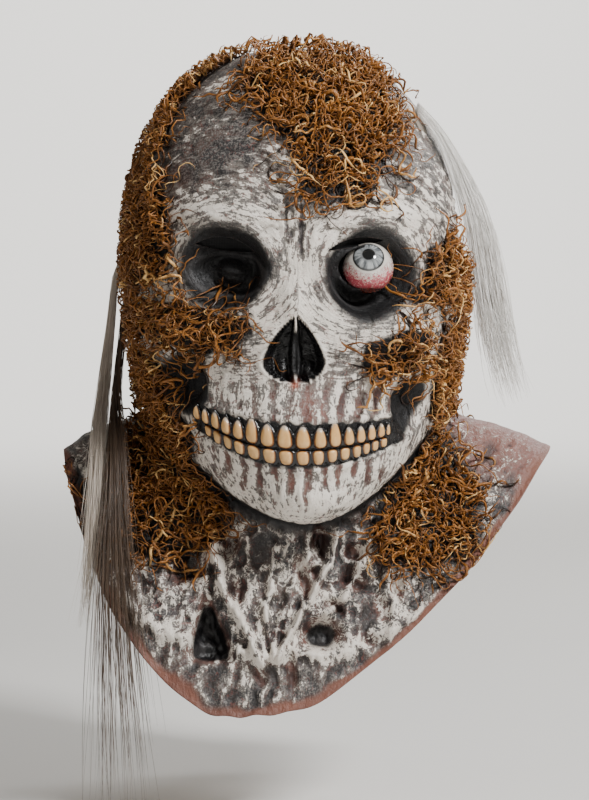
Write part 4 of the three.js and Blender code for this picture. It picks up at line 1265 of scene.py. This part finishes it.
def spline(knots, count):
    """Points evenly spaced along a Catmull-Rom curve through the knots."""
    padded = np.concatenate([[2 * knots[0] - knots[1]], knots, [2 * knots[-1] - knots[-2]]])
    place = np.linspace(0, len(knots) - 1, 40 * len(knots))
    i = np.minimum(np.floor(place).astype(int), len(knots) - 2)
    s = (place - i)[:, None]
    p0, p1, p2, p3 = (padded[i + k] for k in range(4))
    bend = 2 * p0 - 5 * p1 + 4 * p2 - p3
    line = 0.5 * (2 * p1 + (p2 - p0) * s + bend * s**2 + (3 * p1 - p0 - 3 * p2 + p3) * s**3)
    run = np.concatenate([[0], np.cumsum(np.linalg.norm(np.diff(line, axis=0), axis=1))])
    even = np.linspace(0, run[-1], count)
    return np.stack([np.interp(even, run, line[:, k]) for k in range(3)], -1)


for number, (name, lock) in enumerate(HAIR.items()):
    rng = np.random.default_rng(300 + number)
    angle, row, height = (np.array([k[i] for k in lock["skin"]], float) for i in range(3))
    rooted, _ = skin_points(np.radians(angle), row, height, smooth=True)
    free = np.array(lock["free"], float) + (0, 0, EYE_LINE)
    steps, strands = 22, lock["strands"]
    centre = spline(np.concatenate([rooted, free]), steps)
    s = np.linspace(0, 1, steps)
    ahead = np.gradient(centre, axis=0)
    ahead /= np.linalg.norm(ahead, axis=1, keepdims=True)
    root_out = plain_normal(np.radians(angle[:1]), row[:1])[0]
    turned = np.minimum(1, s * 1.5)[:, None]
    out = root_out * (1 - turned) + np.array(lock["facing"], float) * turned
    across = np.cross(ahead, out)
    across /= np.linalg.norm(across, axis=1, keepdims=True)
    through = np.cross(across, ahead)
    sizes = np.stack([np.interp(s, (0, 0.5, 1), [size[i] for size in lock["sizes"]]) for i in (0, 1)])
    spread = np.sqrt(rng.uniform(0, 1, strands)) * rng.choice([0.7, 1, 1.15], strands)
    spin = rng.uniform(0, 2 * math.pi, strands)
    ends = rng.uniform(0.72, 1.0, strands)
    t = s[None] * ends[:, None]
    wander = rng.normal(0, 1, (4, strands, 1))
    sway = (
        t**1.4
        * (4.5 * np.sin(3.1 * t + 2 * wander[0]) * wander[1] + 1.5 * np.sin(11 * t + 3 * wander[2]))
    )
    bow = t**1.5 * 1.6 * np.sin(5 * t + 2 * wander[3]) * wander[2]

    def at(values):
        """Values given at even steps down the lock, read at each strand's own steps."""
        return np.stack([np.interp(t, s, values[:, k]) for k in range(values.shape[1])], -1)

    wide = np.interp(t, s, sizes[0]) * (spread * np.cos(spin))[:, None] + sway
    deep = np.interp(t, s, sizes[1]) * (spread * np.sin(spin))[:, None] + bow
    paths = at(centre) + wide[..., None] * at(across) + deep[..., None] * at(through)
    thick = rng.uniform(0.08, 0.19, strands)
    points, faces = tubes(
        paths, np.broadcast_to(at(through), paths.shape), thick, thick, np.zeros(t.shape), 3,
    )
    bunch = new_piece(name.replace("lock", "strands"), points, faces, hair_materials[lock["colour"]])
    paint(bunch, "tone", np.repeat(rng.uniform(0, 1, strands), steps * 3))
    paint(bunch, "depth", np.repeat(t.ravel(), 3))
    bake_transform(bunch)
    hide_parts(name)

# ---- Foam pads ----
# Blocks of charcoal upholstery foam hold the skin off the wearer's head: one under the crown with a
# flat underside, one at each temple. Each is glued to the inside of the skin.
foam, tree = new_material("charcoal_foam")
place = add(tree, "TexCoord", out="Object")
# Open cells about a millimetre across, with painted shade inside the cells.
cells = add(tree, "TexVoronoi", {"Vector": place, "Scale": 800.0}, out="Distance")
coarse = add(tree, "TexNoise", place, 1000 / 7, 3, 0.5, 0.0)
# painted shade: darker towards the middle of each cell
grey = add(tree, "Mix", add(tree, "MapRange", cells, 0.5, 0.1), linear("#5d5e63"), linear("#26272b"))
grey = add(tree, "Mix", add(tree, "Math", coarse, 0.5, operation="MULTIPLY"), grey, linear("#6e6f73"))
pores = add(tree, "Bump", {"Height": cells, "Strength": 0.7, "Distance": 0.0006})
shade = add(tree, "BsdfPrincipled", {"Base Color": grey, "Roughness": 0.95, "Normal": pores})
add(tree, "OutputMaterial", {"Surface": shade})

PAD_THICKNESS = 12
TEMPLE_PADS = {
    "right_temple_pad": [[-112, 4.6], [-76, 4.6], [-74, 6.8], [-112, 6.8]],
    "left_temple_pad": [[76, 4.6], [112, 4.6], [112, 6.8], [74, 6.8]],
}
for name, corners in TEMPLE_PADS.items():
    pad = pad_piece(
        name.replace("pad", "foam"), corners, lambda out: np.full_like(out, -SKIN_WALL - 0.4), foam,
        back=lambda out: -SKIN_WALL - 0.6 - PAD_THICKNESS * (1 - out**6) ** 0.5,
    )
    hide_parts(name)

CROWN_PAD_RADIUS = 42
CROWN_EDGE = 5  # rounding of the block's lower edge
SIDES = 96  # corners round the block
turns = np.arange(SIDES) / SIDES * 2 * math.pi - math.pi
dome_rows = np.linspace(0.05, 4, 60)
vault, _ = skin_points(*np.meshgrid(turns, dome_rows), -SKIN_WALL - 0.5, smooth=True)
reach = np.hypot(vault[..., 0], vault[..., 1])
out = np.linspace(0, 1, 26)[1:] * CROWN_PAD_RADIUS
roof = np.stack([np.interp(out, reach[:, j], vault[:, j, 2]) for j in range(SIDES)], 1)
out = np.broadcast_to(out[:, None], roof.shape)
edge = np.clip((out - (CROWN_PAD_RADIUS - CROWN_EDGE)) / CROWN_EDGE, 0, 1)
floor_z = CROWN_EDGE * (1 - np.sqrt(1 - edge**2))
floor_z = np.minimum(floor_z, roof - 1)
turned = np.stack([np.sin(turns), -np.cos(turns)], -1)[None]
layers = [np.concatenate([out[..., None] * turned, z[..., None]], -1) for z in (floor_z, roof)]
crown_rings = np.concatenate([layers[0], layers[1][::-1]])
count = crown_rings[..., 0].size
crown_poles = [(0, 0, 0), (0, 0, EYE_LINE + 138 - SKIN_WALL - 0.5)]
crown_faces = sheet_faces(len(crown_rings), SIDES)[:, ::-1].tolist()
crown_faces += [(count, j, (j + 1) % SIDES) for j in range(SIDES)]
last = count - SIDES
crown_faces += [(count + 1, last + (j + 1) % SIDES, last + j) for j in range(SIDES)]
crown_pad = new_piece(
    "crown_foam", np.concatenate([crown_rings.reshape(-1, 3), crown_poles]), crown_faces, foam,
)
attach(crown_pad, "mask")
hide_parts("crown_pad")

# ---- Eye gauze ----
# A patch of black cotton gauze behind each vision slit, which hides the wearer's eyes. It is pulled
# taut and glued to the inside of the skin all round.
gauze, tree = new_material("black_gauze")
place = add(tree, "TexCoord", out="Object")
# Plain weave of black thread, three threads to the millimetre.
weave = add(tree, "TexWave", {"Vector": place, "Scale": 320.0}, out="Fac", bands_direction="X")
weft = add(tree, "TexWave", {"Vector": place, "Scale": 320.0}, out="Fac", bands_direction="Z")
threads = add(tree, "Math", weave, weft, operation="MULTIPLY")
cloth = add(tree, "Mix", threads, linear("#050505"), linear("#1c1c1e"))
weave_bump = add(tree, "Bump", {"Height": threads, "Strength": 0.5, "Distance": 0.0003})
shade = add(tree, "BsdfPrincipled", {"Base Color": cloth, "Roughness": 0.9, "Normal": weave_bump})
add(tree, "OutputMaterial", {"Surface": shade})
GAUZE = {
    "right_eye_gauze": [[-38, 5.5], [-22, 5.6], [-10, 5.9], [-10, 6.6], [-22, 6.7], [-38, 6.5]],
    "left_eye_gauze": [[7, 5.7], [20, 5.5], [34, 5.4], [34, 6.3], [20, 6.5], [7, 6.5]],
}
for name, corners in GAUZE.items():
    patch_name = name.replace("gauze", "gauze_patch")
    net = pad_piece(patch_name, corners, lambda out: np.full_like(out, -SKIN_WALL - 0.7), gauze)
    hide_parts(name)
